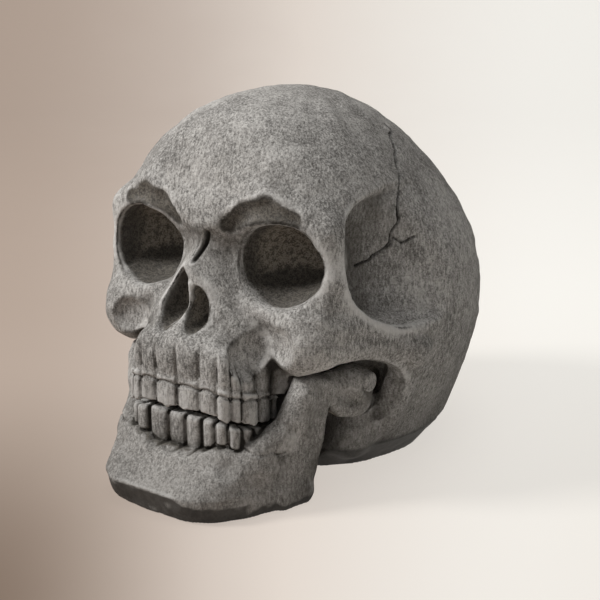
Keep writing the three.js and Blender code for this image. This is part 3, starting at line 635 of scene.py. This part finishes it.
# %% Making the two castings
def casting(name, field, low, high, most):
    """A mesh object of the field, thinned to at most that many triangles."""
    points, quads = surface(field, low, high, STEP)
    d, n = slope(field, points)
    points = points - n * np.clip(d, -STEP, STEP)[:, None]
    mesh = bpy.data.meshes.new(name)
    mesh.from_pydata(points, [], quads.tolist())
    mesh.update()
    obj = bpy.data.objects.new(name, mesh)
    scene.collection.objects.link(obj)
    if len(quads) * 2 > most:
        thin = obj.modifiers.new("thin", "DECIMATE")
        thin.ratio = most / (len(quads) * 2)
        thin.use_collapse_triangulate = True
        graph = bpy.context.evaluated_depsgraph_get()
        done = bpy.data.meshes.new_from_object(obj.evaluated_get(graph))
        obj.modifiers.clear()
        obj.data = done
        done.name = name
    print(name, len(quads), "quads drawn,", len(obj.data.polygons), "faces kept")
    return obj


head_stone = casting("head_stone", head, (-92, -100, -2), (92, 126, 184), HEAD_TRIANGLES)
jaw_stone = casting("jaw_stone", jaw, (-70, -108, -2), (70, -6, 68), JAW_TRIANGLES)

# %% [markdown]
# ## What the brush knows
#
# The finish on such castings is a dark wash that stays in the hollows and a dry brush that catches the
# edges, and painted shade is laid in with the wash. Both follow the shape, so each point keeps a few
# numbers: how narrow the crevice is that it lies in, how deep the hollow round it is, how exposed it is,
# whether it is a crack and whether it is the sole. The wash and painted shade are darkest just inside the
# rims of the caves and on their floors. The material reads all this as attributes.

# %% Crevice, hollow, edge and sole attributes
# Level of the wash and painted shade just inside the rims of the caves.
NEAR_WASH_AND_SHADE = 0.72
SOLE_TOP = 16


def store(mesh, name, values):
    """One number for each point of the mesh, kept under a name."""
    layer = mesh.attributes.new(name, "FLOAT", "POINT")
    layer.data.foreach_set("value", np.clip(values, 0, 1).astype(np.float32))


def closed_in(field, p, n, reach):
    """How much of the way out from the surface is blocked, at those distances."""
    return sum(np.clip(1 - in_parts(field, p + n * far) / far, 0, 1) for far in reach) / len(reach)


def brush_marks(obj, field, crack, cave, wash_shade):
    """Everything the finish needs to know about each point of a casting."""
    mesh = obj.data
    p = np.empty(len(mesh.vertices) * 3, np.float32)
    mesh.vertices.foreach_get("co", p)
    p = p.reshape(-1, 3)
    n = slope(field, p, 0.8)[1].astype(np.float32)
    # Crevice: how closed in the point is within 4 mm; the finish darkens it with wash and painted shade.
    crevice = closed_in(field, p, n, (1.5, 4.0))
    # Deep: closed in over 9 to 20 mm, or inside a cave; wash and painted shade follow it.
    deep = np.maximum(closed_in(field, p, n, (9.0, 20.0)), cave(p))
    # Cave floors, which the lamps would light, are held to the darker rim colour: painted shade.
    is_floor = np.clip((n[:, 2] - 0.4) * 4, 0, 1)
    deep = np.minimum(deep, 1 - 0.26 * is_floor)
    # Hollow: how closed in the point is up to 14 mm out, with the temple and jaw-side marks; painted shade
    # and wash.
    hollow = np.maximum(closed_in(field, p, n, (3.0, 7.0, 14.0)), wash_shade(p))
    edge = closed_in(lambda q: -field(q), p, -n, (2.0, 5.0))
    store(mesh, "crevice", crevice)
    store(mesh, "deep", deep)
    store(mesh, "hollow", hollow)
    store(mesh, "edge", edge * 2)
    store(mesh, "crack", crack(p))
    # Sole: facets that face down near the table, painted dark as painted shade.
    faces_down = np.clip((-n[:, 2] - 0.08) * 8, 0, 1)
    store(mesh, "sole", faces_down * np.clip((SOLE_TOP - p[:, 2]) / 2, 0, 1))
    print(obj.name, "mean crevice", crevice.mean().round(3), "deep", deep.mean().round(3))


# The caves and brow scoops get the darkest wash and painted shade.
def head_cave(p):
    """Up to 1 on the walls of the eye sockets, of the nose and of the mouth, less on the brow scoops."""
    m = mirrored(p)
    depth = -in_parts(lambda q: face_bones(q, mirrored(q), braincase(q)), p)
    inside = NEAR_WASH_AND_SHADE * np.clip((depth - 0.8) / 2, 0, 1) + 0.28 * np.clip((depth - 6) / 10, 0, 1)
    socket = np.clip(2.2 - np.abs(egg(m, *SOCKET)), 0, 1) * inside
    nose = np.clip(2.0 - np.abs(nostrils(p)), 0, 1) * inside
    mouth = (along_row(p)[1] < -6) * np.clip((60 - p[:, 2]) / 6, 0, 1) * (p[:, 1] < 0)
    scoop = np.clip(1.6 - np.abs(bar(m, *BROW_SCOOP)), 0, 1) * NEAR_WASH_AND_SHADE
    return np.maximum.reduce([socket, nose, mouth, scoop])


def jaw_cave(p):
    """1 on the inner side of the jaw, for wash and painted shade."""
    return (along_row(p)[1] < -8) * np.clip((-20 - p[:, 1]) / 4, 0, 1) * (np.abs(p[:, 0]) < 42)


def no_crack(p):
    """The jaw has none."""
    return np.zeros(len(p))


def temple_wash_and_shade(p):
    """Wash and painted shade on the field of the temple, strongest behind its front edge."""
    share = temple_field(mirrored(p)) / TEMPLE_STEP
    return share * (0.36 + 0.3 * lumps(p, 10)) * ease((24 - p[:, 1]) / 50)


def jaw_side_wash_and_shade(p):
    """Wash and painted shade on the plates at the sides of the jaw, more towards the back."""
    return (0.2 + 0.15 * lumps(p, 9)) * ease((p[:, 1] + 62) / 14)


brush_marks(head_stone, head, head_crack, head_cave, temple_wash_and_shade)
brush_marks(jaw_stone, jaw, no_crack, jaw_cave, jaw_side_wash_and_shade)

# %% From sculpting millimetres to the frame's metres
for stone in (head_stone, jaw_stone):
    stone.data.transform(Matrix.Scale(0.001, 4) @ Matrix.Translation((0, SHIFT_Y, 0)))
    stone.data.shade_smooth()
    print(stone.name, [round(v, 3) for v in stone.dimensions])

# %% [markdown]
# ## Writing shader maths
#
# Node trees are easier to read as sums. This class wraps one socket, so that values can be added and
# multiplied in Python, and one method makes any other node.

# %% A socket with arithmetic
class Tone:
    def __init__(self, tree, socket=None):
        self.tree, self.socket = tree, socket

    def make(self, kind, settings=None, inputs=None, out=0):
        node = self.tree.nodes.new(kind)
        for key, value in (settings or {}).items():
            if key == "stops":
                ramp = node.color_ramp
                for place, colour in value[2:]:
                    ramp.elements.new(place).color = colour
                for element, (place, colour) in zip(ramp.elements, sorted(value)):
                    element.position, element.color = place, colour
            else:
                setattr(node, key, value)
        for key, value in (inputs or {}).items():
            if isinstance(value, Tone):
                self.tree.links.new(value.socket, node.inputs[key])
            else:
                node.inputs[key].default_value = value
        return Tone(self.tree, node.outputs[out])

    def sum(self, operation, a, b):
        return self.make("ShaderNodeMath", {"operation": operation}, {0: a, 1: b})

    def __add__(self, other):
        return self.sum("ADD", self, other)

    def __sub__(self, other):
        return self.sum("SUBTRACT", self, other)

    def __rsub__(self, other):
        return self.sum("SUBTRACT", other, self)

    def __mul__(self, other):
        return self.sum("MULTIPLY", self, other)

    __radd__, __rmul__ = __add__, __mul__

    def over(self, low, high):
        """0 below low, 1 above high."""
        return self.make("ShaderNodeMapRange", {"interpolation_type": "SMOOTHSTEP"},
                         {"Value": self, "From Min": low, "From Max": high})

    def mix(self, a, b):
        """Colour a where this is 0 and b where it is 1."""
        return self.make("ShaderNodeMix", {"data_type": "RGBA"}, {0: self, 6: a, 7: b}, out=2)


def finish_named(name):
    """A new material, its first Tone and its surface shader."""
    material = bpy.data.materials.new(name)
    material.use_nodes = True
    shader = next(n for n in material.node_tree.nodes if n.type == "BSDF_PRINCIPLED")
    return material, Tone(material.node_tree), shader


def feed(shader, **sockets):
    """Values or Tones into the shader's inputs of those names."""
    for name, value in sockets.items():
        socket = shader.inputs[name.replace("_", " ")]
        if isinstance(value, Tone):
            value.tree.links.new(value.socket, socket)
        else:
            socket.default_value = value


def grain(start, place, scale, detail=4.0, rough=0.55):
    """Noise of that scale."""
    return start.make("ShaderNodeTexNoise", None,
                      {"Vector": place, "Scale": scale, "Detail": detail, "Roughness": rough})


print("shader helpers ready")

# %% [markdown]
# ## Grey faux stone
#
# Close to, the stone is a mottled grey with dark grains, warm brown where the wash stayed, and pale scuffs
# on every edge. Painted shade, with the wash, darkens the hollows, caves, crevices and cracks, and painted
# shade darkens the parts low down. The sole facets are smoother, because the mould was open there, and
# darker with painted shade, since they face down.

# %% Stone finish
def grey(v, warm=0.0):
    """A grey of that value, a little brown where warm is above 0."""
    return (v * (1 + warm), v, v * (1 - warm * 1.4), 1)


BARE_STONE = grey(0.10, 0.035), grey(0.54, 0.02)
SCUFFED, SCRATCHED = grey(0.60, 0.01), grey(0.56, 0.01)
# Painted shade with wash in the hollows, and painted shade low down near the table.
HOLLOW_WASH_AND_SHADE, LOW_SHADE = grey(0.06, 0.1), grey(0.055, 0.09)
# Wash and painted shade in the caves, darkest just inside their rims.
RIM_WASH_AND_SHADE, INNER_WASH_AND_SHADE = (grey(0.04, 0.1), grey(0.13, 0.1)), (grey(0.1, 0.12), grey(0.42, 0.1))
# Wash and painted shade in crevices, dark grain dots, and painted shade in the cracks.
CREVICE_WASH_AND_SHADE, IN_DOTS, CRACK_SHADE = grey(0.02, 0.12), grey(0.045, 0.1), grey(0.014, 0.1)
# Painted shade on the facets that face down.
SOLE_SHADE = grey(0.018, 0.05), grey(0.055, 0.04)


def stone_finish():
    """The painted stone in order: strokes, scuffs, painted shade with wash, lines, dots, cracks, sole."""
    material, start, shader = finish_named("grey_stone")
    place = start.make("ShaderNodeTexCoord", out="Object")
    crevice, hollow, deep, edge, crack, sole = (
        start.make("ShaderNodeAttribute", {"attribute_name": name}, out="Fac")
        for name in ("crevice", "hollow", "deep", "edge", "crack", "sole"))
    cloud = grain(start, place, 30, 5.0)
    patch = grain(start, place, 150, 5.0, 0.65)
    blot = grain(start, place, 480, 3.0, 0.6)
    fine = grain(start, place, 1400, 2.0, 0.6)
    strokes = []
    for turn in ((0.9, 0.5, 0.4), (-0.8, 0.7, 0.9)):
        along = start.make("ShaderNodeMapping", None, {
            "Vector": place, "Rotation": turn, "Scale": (1, 1, 0.35)})
        strokes.append(grain(start, along, 900, 3.0, 0.6))
    scratch = strokes[0].over(0.58, 0.72) + strokes[1].over(0.58, 0.72)
    tone = cloud * 0.6 + patch * 0.5 + strokes[0] * 0.8 + strokes[1] * 0.5 + fine * 0.9
    colour = tone.over(1.28, 2.05).mix(*BARE_STONE)
    # Dark lines of wash and painted shade in the narrow crevices.
    line = (crevice * 2.4 + blot * 0.9 - 0.95).over(0.0, 0.8)
    scuff = (edge * 1.3 + strokes[0] * 1.0 - 0.85).over(0.0, 0.9) * (1 - line)
    colour = (scuff * 0.72).mix(colour, SCUFFED)
    colour = (scratch * 0.22).mix(colour, SCRATCHED)
    # Painted shade with wash in the hollows, by how closed in they are.
    hollow_wash_and_shade = (hollow * 1.35 + patch * 0.4 + blot * 0.3 - 0.36).over(0.0, 0.6) * (1 - deep)
    colour = (hollow_wash_and_shade * 0.9).mix(colour, HOLLOW_WASH_AND_SHADE)
    # Painted shade low down: darker towards the table, starting about 70 mm above it.
    low = start.make("ShaderNodeSeparateXYZ", None, {"Vector": place}, out="Z")
    low_shade = (0.07 - low + patch * 0.05).over(0.0, 0.14)
    colour = (low_shade * 0.66).mix(colour, LOW_SHADE)
    # Wash and painted shade in the sockets, nose, mouth, brow scoops and other deep hollows.
    wash = (deep * 1.5 + patch * 0.7 - 0.72).over(0.0, 0.8)
    speckle = (blot + fine).over(0.8, 1.25)
    brown = deep.over(NEAR_WASH_AND_SHADE, 1.0).mix(speckle.mix(*RIM_WASH_AND_SHADE), speckle.mix(*INNER_WASH_AND_SHADE))
    colour = (wash * 0.95).mix(colour, brown)
    colour = (line * 0.92).mix(colour, CREVICE_WASH_AND_SHADE)
    dots = (fine * 0.6 + blot * 0.6).over(0.69, 0.8)
    colour = (dots * 0.45).mix(colour, IN_DOTS)
    # Painted shade inside the cracks, which the mesh barely holds.
    colour = crack.mix(colour, CRACK_SHADE)
    # Painted shade on the sole facets, which face down; they are smoother too.
    colour = (sole * 0.94).mix(colour, (blot + cloud).over(0.6, 1.4).mix(*SOLE_SHADE))
    height = patch * 0.8 + blot * 0.7 + fine * 0.5 + scratch * 0.1 - dots * 0.4
    bump = start.make("ShaderNodeBump", None, {
        "Strength": 0.8 - sole * 0.6, "Distance": 0.0009, "Height": height}, out="Normal")
    feed(shader, Base_Color=colour, Roughness=0.93 - sole * 0.3, Normal=bump, Specular_IOR_Level=0.25)
    return material


stone_grey = stone_finish()
for stone in (head_stone, jaw_stone):
    stone.data.materials.clear()
    stone.data.materials.append(stone_grey)
print("stone nodes", len(stone_grey.node_tree.nodes))

# %% Castings onto their bodies
for stone, body, node in ((head_stone, "cranium", "cranium_shell"), (jaw_stone, "jaw", "mandible")):
    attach(stone, body)
    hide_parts(node)
    print(stone.name, "rides", body)

# %% [markdown]
# ## Pads, screws and plugs
#
# Under the castings sit round felt pads and four screws, and a stone-coloured plug closes each bolt hole of
# the jaw joint. Each is one shape that repeats, so Geometry Nodes place it: the places are points, the tree
# puts a chamfered disc on each, and the result is kept as the object's mesh. The sizes come from the CAD
# nodes.

# %% Disc maker
def disc_tree(name, crossed):
    """Chamfered discs on points, with a cross recess and a shank where they are screws."""
    tree = bpy.data.node_groups.new(name, "GeometryNodeTree")
    for label, kind in (("Geometry", "NodeSocketGeometry"), ("Radius", "NodeSocketFloat"),
                        ("Height", "NodeSocketFloat"), ("Chamfer", "NodeSocketFloat"),
                        ("Turn", "NodeSocketVector"), ("Finish", "NodeSocketMaterial")):
        tree.interface.new_socket(label, in_out="INPUT", socket_type=kind)
    tree.interface.new_socket("Geometry", in_out="OUTPUT", socket_type="NodeSocketGeometry")
    start = Tone(tree)
    given = tree.nodes.new("NodeGroupInput")
    places, radius, height, chamfer, turn, finish = (Tone(tree, s) for s in list(given.outputs)[:6])
    plate = start.make("GeometryNodeMeshCircle", {"fill_type": "NGON"}, {
        "Vertices": 40, "Radius": radius})
    back = start.make("GeometryNodeFlipFaces", None, {"Mesh": plate})
    wall = start.make("GeometryNodeExtrudeMesh", None, {
        "Mesh": plate, "Offset Scale": height - chamfer})
    top = Tone(tree, wall.socket.node.outputs["Top"])
    rim = start.make("GeometryNodeExtrudeMesh", None, {
        "Mesh": wall, "Selection": top, "Offset Scale": chamfer})
    top = Tone(tree, rim.socket.node.outputs["Top"])
    small = start.make("ShaderNodeMath", {"operation": "DIVIDE"}, {0: radius - chamfer, 1: radius})
    rim = start.make("GeometryNodeScaleElements", {"domain": "FACE"}, {
        "Geometry": rim, "Selection": top, "Scale": small})
    both = start.make("GeometryNodeJoinGeometry")
    for part in (rim, back):
        tree.links.new(part.socket, both.socket.node.inputs[0])
    disc = start.make("GeometryNodeMergeByDistance", None, {"Geometry": both, "Distance": 1e-6})
    if crossed:
        disc = cross_recess(start, disc, radius, height)
    discs = start.make("GeometryNodeInstanceOnPoints", None, {
        "Points": places, "Instance": disc, "Rotation": turn})
    solid = start.make("GeometryNodeRealizeInstances", None, {"Geometry": discs})
    solid = start.make("GeometryNodeSetMaterial", None, {"Geometry": solid, "Material": finish})
    tree.links.new(solid.socket, tree.nodes.new("NodeGroupOutput").inputs[0])
    return tree


def cross_recess(start, disc, radius, height):
    """A cross cut into the top of a screw head, and a shank below it."""
    for long_x, long_y in ((1.1, 0.26), (0.26, 1.1)):
        size = start.make("ShaderNodeCombineXYZ", None, {
            "X": radius * long_x, "Y": radius * long_y, "Z": height})
        arm = start.make("GeometryNodeMeshCube", None, {"Size": size})
        lift = start.make("ShaderNodeCombineXYZ", None, {"Z": height})
        arm = start.make("GeometryNodeTransform", None, {"Geometry": arm, "Translation": lift})
        disc = start.make("GeometryNodeMeshBoolean", {"operation": "DIFFERENCE"}, {
            "Mesh 1": disc, "Mesh 2": arm})
    shank = start.make("GeometryNodeMeshCylinder", None, {
        "Vertices": 24, "Radius": radius * 0.53, "Depth": height * 5.0})
    drop = start.make("ShaderNodeCombineXYZ", None, {"Z": height * -2.2})
    shank = start.make("GeometryNodeTransform", None, {"Geometry": shank, "Translation": drop})
    both = start.make("GeometryNodeMeshBoolean", {"operation": "UNION"})
    for part in (disc, shank):
        part.tree.links.new(part.socket, both.socket.node.inputs["Mesh 2"])
    return both


disc_makers = {False: disc_tree("plain_discs", False), True: disc_tree("screw_heads", True)}
print("disc makers with", [len(t.nodes) for t in disc_makers.values()], "nodes")

# %% Placing discs
def discs(name, nodes, places, radius, height, chamfer, turn, finish, body, slot, crossed=False):
    """One mesh of discs on those places, standing for those CAD nodes."""
    mesh = bpy.data.meshes.new(name + "_places")
    mesh.from_pydata(places, [], [])
    obj = bpy.data.objects.new(name, mesh)
    scene.collection.objects.link(obj)
    maker = obj.modifiers.new("discs", "NODES")
    maker.node_group = disc_makers[crossed]
    sockets = {s.name: s.identifier for s in maker.node_group.interface.items_tree if s.in_out == "INPUT"}
    for label, value in (("Radius", radius), ("Height", height), ("Chamfer", chamfer), ("Turn", turn),
                         ("Finish", finish)):
        maker[sockets[label]] = value
    graph = bpy.context.evaluated_depsgraph_get()
    done = bpy.data.meshes.new_from_object(obj.evaluated_get(graph))
    obj.modifiers.clear()
    obj.data = done
    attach(obj, body)
    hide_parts(*nodes)
    print(name, len(done.polygons), "faces for", len(nodes), "nodes")
    return obj


def middle(node, axis, end):
    """Middle of a CAD node's box, at its low (0) or high (1) end along one axis."""
    low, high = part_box(node)
    at = (low + high) / 2
    at[axis] = (low, high)[end][axis]
    return at


def across(node, axis):
    """Length of a CAD node's box along one axis."""
    low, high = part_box(node)
    return (high - low)[axis]


print("pads at", [tuple(round(v, 3) for v in middle(f"foot_pad_{i}", 2, 0)) for i in range(1, 5)])

# %% [markdown]
# The pads are dark felt, the screws plated steel, the plate a dark fibreboard. The hidden bolts, bushes,
# washers and inserts of the joint keep their CAD shape and get a plain metal or nylon.

# %% Finishes of the small parts
def plain_finish(name, dark, light, scale, rough, metal=0.0, bump=0.3, deep=0.0002):
    """A finish between two colours, with grain of that scale."""
    material, start, shader = finish_named(name)
    place = start.make("ShaderNodeTexCoord", out="Object")
    coarse, fine = grain(start, place, scale), grain(start, place, scale * 6, 3.0, 0.7)
    tone = coarse * 0.6 + fine * 0.4
    normal = start.make("ShaderNodeBump", None, {
        "Strength": bump, "Distance": deep, "Height": fine}, out="Normal")
    feed(shader, Base_Color=tone.over(0.3, 0.7).mix(dark, light), Normal=normal, Metallic=metal,
         Roughness=rough + tone * 0.2)
    return material


felt = plain_finish("dark_felt", grey(0.012), grey(0.035, 0.03), 400, 0.8, bump=0.8, deep=0.0005)
steel = plain_finish("plated_steel", grey(0.45), grey(0.62, 0.01), 250, 0.25, metal=1.0, bump=0.1)
brass = plain_finish("brass", (0.5, 0.33, 0.11, 1), (0.68, 0.48, 0.19, 1), 250, 0.25, metal=1.0, bump=0.1)
nylon = plain_finish("nylon", grey(0.55, 0.03), grey(0.68, 0.03), 200, 0.45, bump=0.1)
board = plain_finish("fibreboard", (0.022, 0.017, 0.013, 1), (0.06, 0.047, 0.036, 1), 120, 0.7, bump=0.5)
kept = {"base_plate": board}
for side in ("left", "right"):
    kept.update({"pivot_insert_" + side: brass, "pivot_bush_" + side: nylon,
                 "pivot_bolt_" + side: steel, "pivot_washer_" + side: steel})
for node, finish in kept.items():
    frame["nodes"][node].data.materials.clear()
    frame["nodes"][node].data.materials.append(finish)
print(len(kept), "CAD nodes keep their shape")

# %% Pads, screws and plugs in place
FACING_DOWN = (math.pi, 0, 0)
HEAD_HEIGHT = 0.0014
PAD_CHAMFER, SCREW_CHAMFER, PLUG_CHAMFER = 0.0005, 0.0003, 0.0006
for name, names, body in (("felt_feet", [f"foot_pad_{i}" for i in range(1, 5)], "cranium"),
                          ("felt_chin_pads", ["jaw_pad_left", "jaw_pad_right", "jaw_pad_chin"], "jaw")):
    discs(name, names, [middle(n, 2, 1) for n in names], across(names[0], 0) / 2, across(names[0], 2),
          PAD_CHAMFER, FACING_DOWN, felt, body, "pad")
screws = [f"base_screw_{i}" for i in range(1, 5)]
discs("plate_screws", screws, [middle(n, 2, 0) + Vector((0, 0, HEAD_HEIGHT)) for n in screws],
      across(screws[0], 0) / 2, HEAD_HEIGHT, SCREW_CHAMFER, FACING_DOWN, steel, "cranium", "steel",
      crossed=True)
for side in ("left", "right"):
    node = "pivot_cap_" + side
    inner_end, lean = (0, math.pi / 2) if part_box(node)[0][0] > 0 else (1, -math.pi / 2)
    discs("stone_plug_" + side, [node], [middle(node, 0, inner_end)], across(node, 1) / 2, across(node, 0),
          PLUG_CHAMFER, (0, lean, 0), stone_grey, "jaw", "stone")

# %% [markdown]
# ## Floor, light and camera
#
# A pale warm sheet curves up behind the skull. One large soft light comes from the upper left, two weak
# ones from above and in front, and a faint light from the world. The camera stands where the photographer
# stood: to the right of the face and a little above.

# %% Stage
VIEW_TURN, DISTANCE = math.radians(34), 0.65


def sheet_finish():
    """Pale warm paper with painted shade to the left and near the front; it keeps a faint real shadow."""
    material, start, shader = finish_named("pale_sheet")
    place = start.make("ShaderNodeTexCoord", out="Object")
    x = start.make("ShaderNodeSeparateXYZ", None, {"Vector": place})
    y = Tone(x.tree, x.socket.node.outputs["Y"])
    right = x * math.cos(VIEW_TURN) + y * math.sin(VIEW_TURN)
    away = y * math.cos(VIEW_TURN) - x * math.sin(VIEW_TURN)
    fan = start.sum("DIVIDE", right, start.sum("MAXIMUM", away + DISTANCE, 0.1))
    fan = fan + grain(start, place, 2.5) * 0.05
    # Painted shade across the sheet: dark to the left of the view, pale to the right.
    colour = start.make("ShaderNodeValToRGB", {"stops": [
        (0.0, (0.455, 0.365, 0.305, 1)), (1.0, (0.98, 0.962, 0.915, 1)),
        (0.26, (0.60, 0.515, 0.455, 1)), (0.55, (0.82, 0.745, 0.68, 1))]}, {"Fac": fan.over(-0.21, 0.24)})
    # A painted shadow on the floor to the left of the view, near the front.
    painted_left_shadow = (-0.02 - fan).over(0.0, 0.2) * (0.12 - away).over(0.0, 0.3)
    # Painted shade on the floor near the front.
    colour = ((0.3 - away).over(0.0, 0.5) * 0.25).mix(colour, (0.60, 0.525, 0.465, 1))
    colour = (painted_left_shadow * 0.95).mix(colour, (0.21, 0.155, 0.118, 1))
    feed(shader, Base_Color=colour, Roughness=0.9)
    # For camera, glossy and transmission rays the sheet mostly glows with its colour: painted light that
    # keeps its tones and leaves a quarter of the real shadow.
    seen = sum(start.make("ShaderNodeLightPath", out=ray) for ray in (
        "Is Camera Ray", "Is Glossy Ray", "Is Transmission Ray")).over(0.0, 1.0)
    glow = start.make("ShaderNodeEmission", None, {"Color": colour, "Strength": 1.0})
    surface_shader = Tone(material.node_tree, shader.outputs[0])
    both = start.make("ShaderNodeMixShader", None, {0: seen * 0.75, 1: surface_shader, 2: glow})
    output = next(n for n in material.node_tree.nodes if n.type == "OUTPUT_MATERIAL")
    material.node_tree.links.new(both.socket, output.inputs["Surface"])
    return material


def backdrop():
    """The sheet: a floor that curves up into a wall behind the skull, turned to face the camera."""
    mesh = bpy.data.meshes.new("backdrop")
    start, bend_radius, top, half_width = 1.1, 0.5, 3.0, 4.0
    bend = [(-2.5, 0.0), (start, 0.0)]
    bend += [(start + bend_radius * math.sin(a), bend_radius - bend_radius * math.cos(a))
             for a in np.linspace(0, math.pi / 2, 13)[1:]]
    bend += [(start + bend_radius, top)]
    turn = Matrix.Rotation(VIEW_TURN, 3, "Z")
    points = [turn @ Vector((x, y, z)) for y, z in bend for x in (-half_width, half_width)]
    mesh.from_pydata(points, [], [(2 * i, 2 * i + 1, 2 * i + 3, 2 * i + 2) for i in range(len(bend) - 1)])
    mesh.shade_smooth()
    sheet = bpy.data.objects.new("backdrop", mesh)
    scene.collection.objects.link(sheet)
    sheet.data.materials.append(sheet_finish())
    return sheet


backdrop()
TARGET = (0.0028, 0.0159 + SHIFT_Y * 0.001, 0.0722)
ELEVATION = math.radians(16.5)


def aimed(obj, at, target):
    """A lamp or camera set down and turned towards a point."""
    obj.location = at
    to = [t - a for t, a in zip(target, at)]
    obj.rotation_euler = Vector(to).to_track_quat("-Z", "Y").to_euler()
    scene.collection.objects.link(obj)
    return obj


lens = bpy.data.cameras.new("camera")
lens.lens, lens.sensor_width, lens.clip_start = 78.0, 36.0, 0.01
towards_eye = (math.sin(VIEW_TURN) * math.cos(ELEVATION), -math.cos(VIEW_TURN) * math.cos(ELEVATION),
               math.sin(ELEVATION))
eye = [t + DISTANCE * c for t, c in zip(TARGET, towards_eye)]
scene.camera = aimed(bpy.data.objects.new("camera", lens), eye, TARGET)
print("camera at", [round(v, 3) for v in eye])

# %% Lamps
def lamp(name, at, size, power, colour):
    """A soft round lamp aimed at the skull."""
    data = bpy.data.lights.new(name, "AREA")
    data.shape, data.size, data.energy, data.color = "DISK", size, power, colour
    return aimed(bpy.data.objects.new(name, data), at, (0, 0, 0.08))


lamp("key", (-0.85, -0.82, 1.05), 0.42, 24, (1, 0.98, 0.95))
lamp("above", (0.2, 0.0, 1.4), 0.9, 4.6, (1, 0.98, 0.95))
lamp("front", (0.25, -1.3, 0.6), 0.9, 1.0, (1, 0.97, 0.93))
world = bpy.data.worlds.new("soft_light")
scene.world = world
world.use_nodes = True
sky = world.node_tree.nodes["Background"]
sky.inputs["Color"].default_value = grey(1.0, 0.02)
sky.inputs["Strength"].default_value = 0.17
scene.view_settings.view_transform = "Standard"
print("lamps and world set")
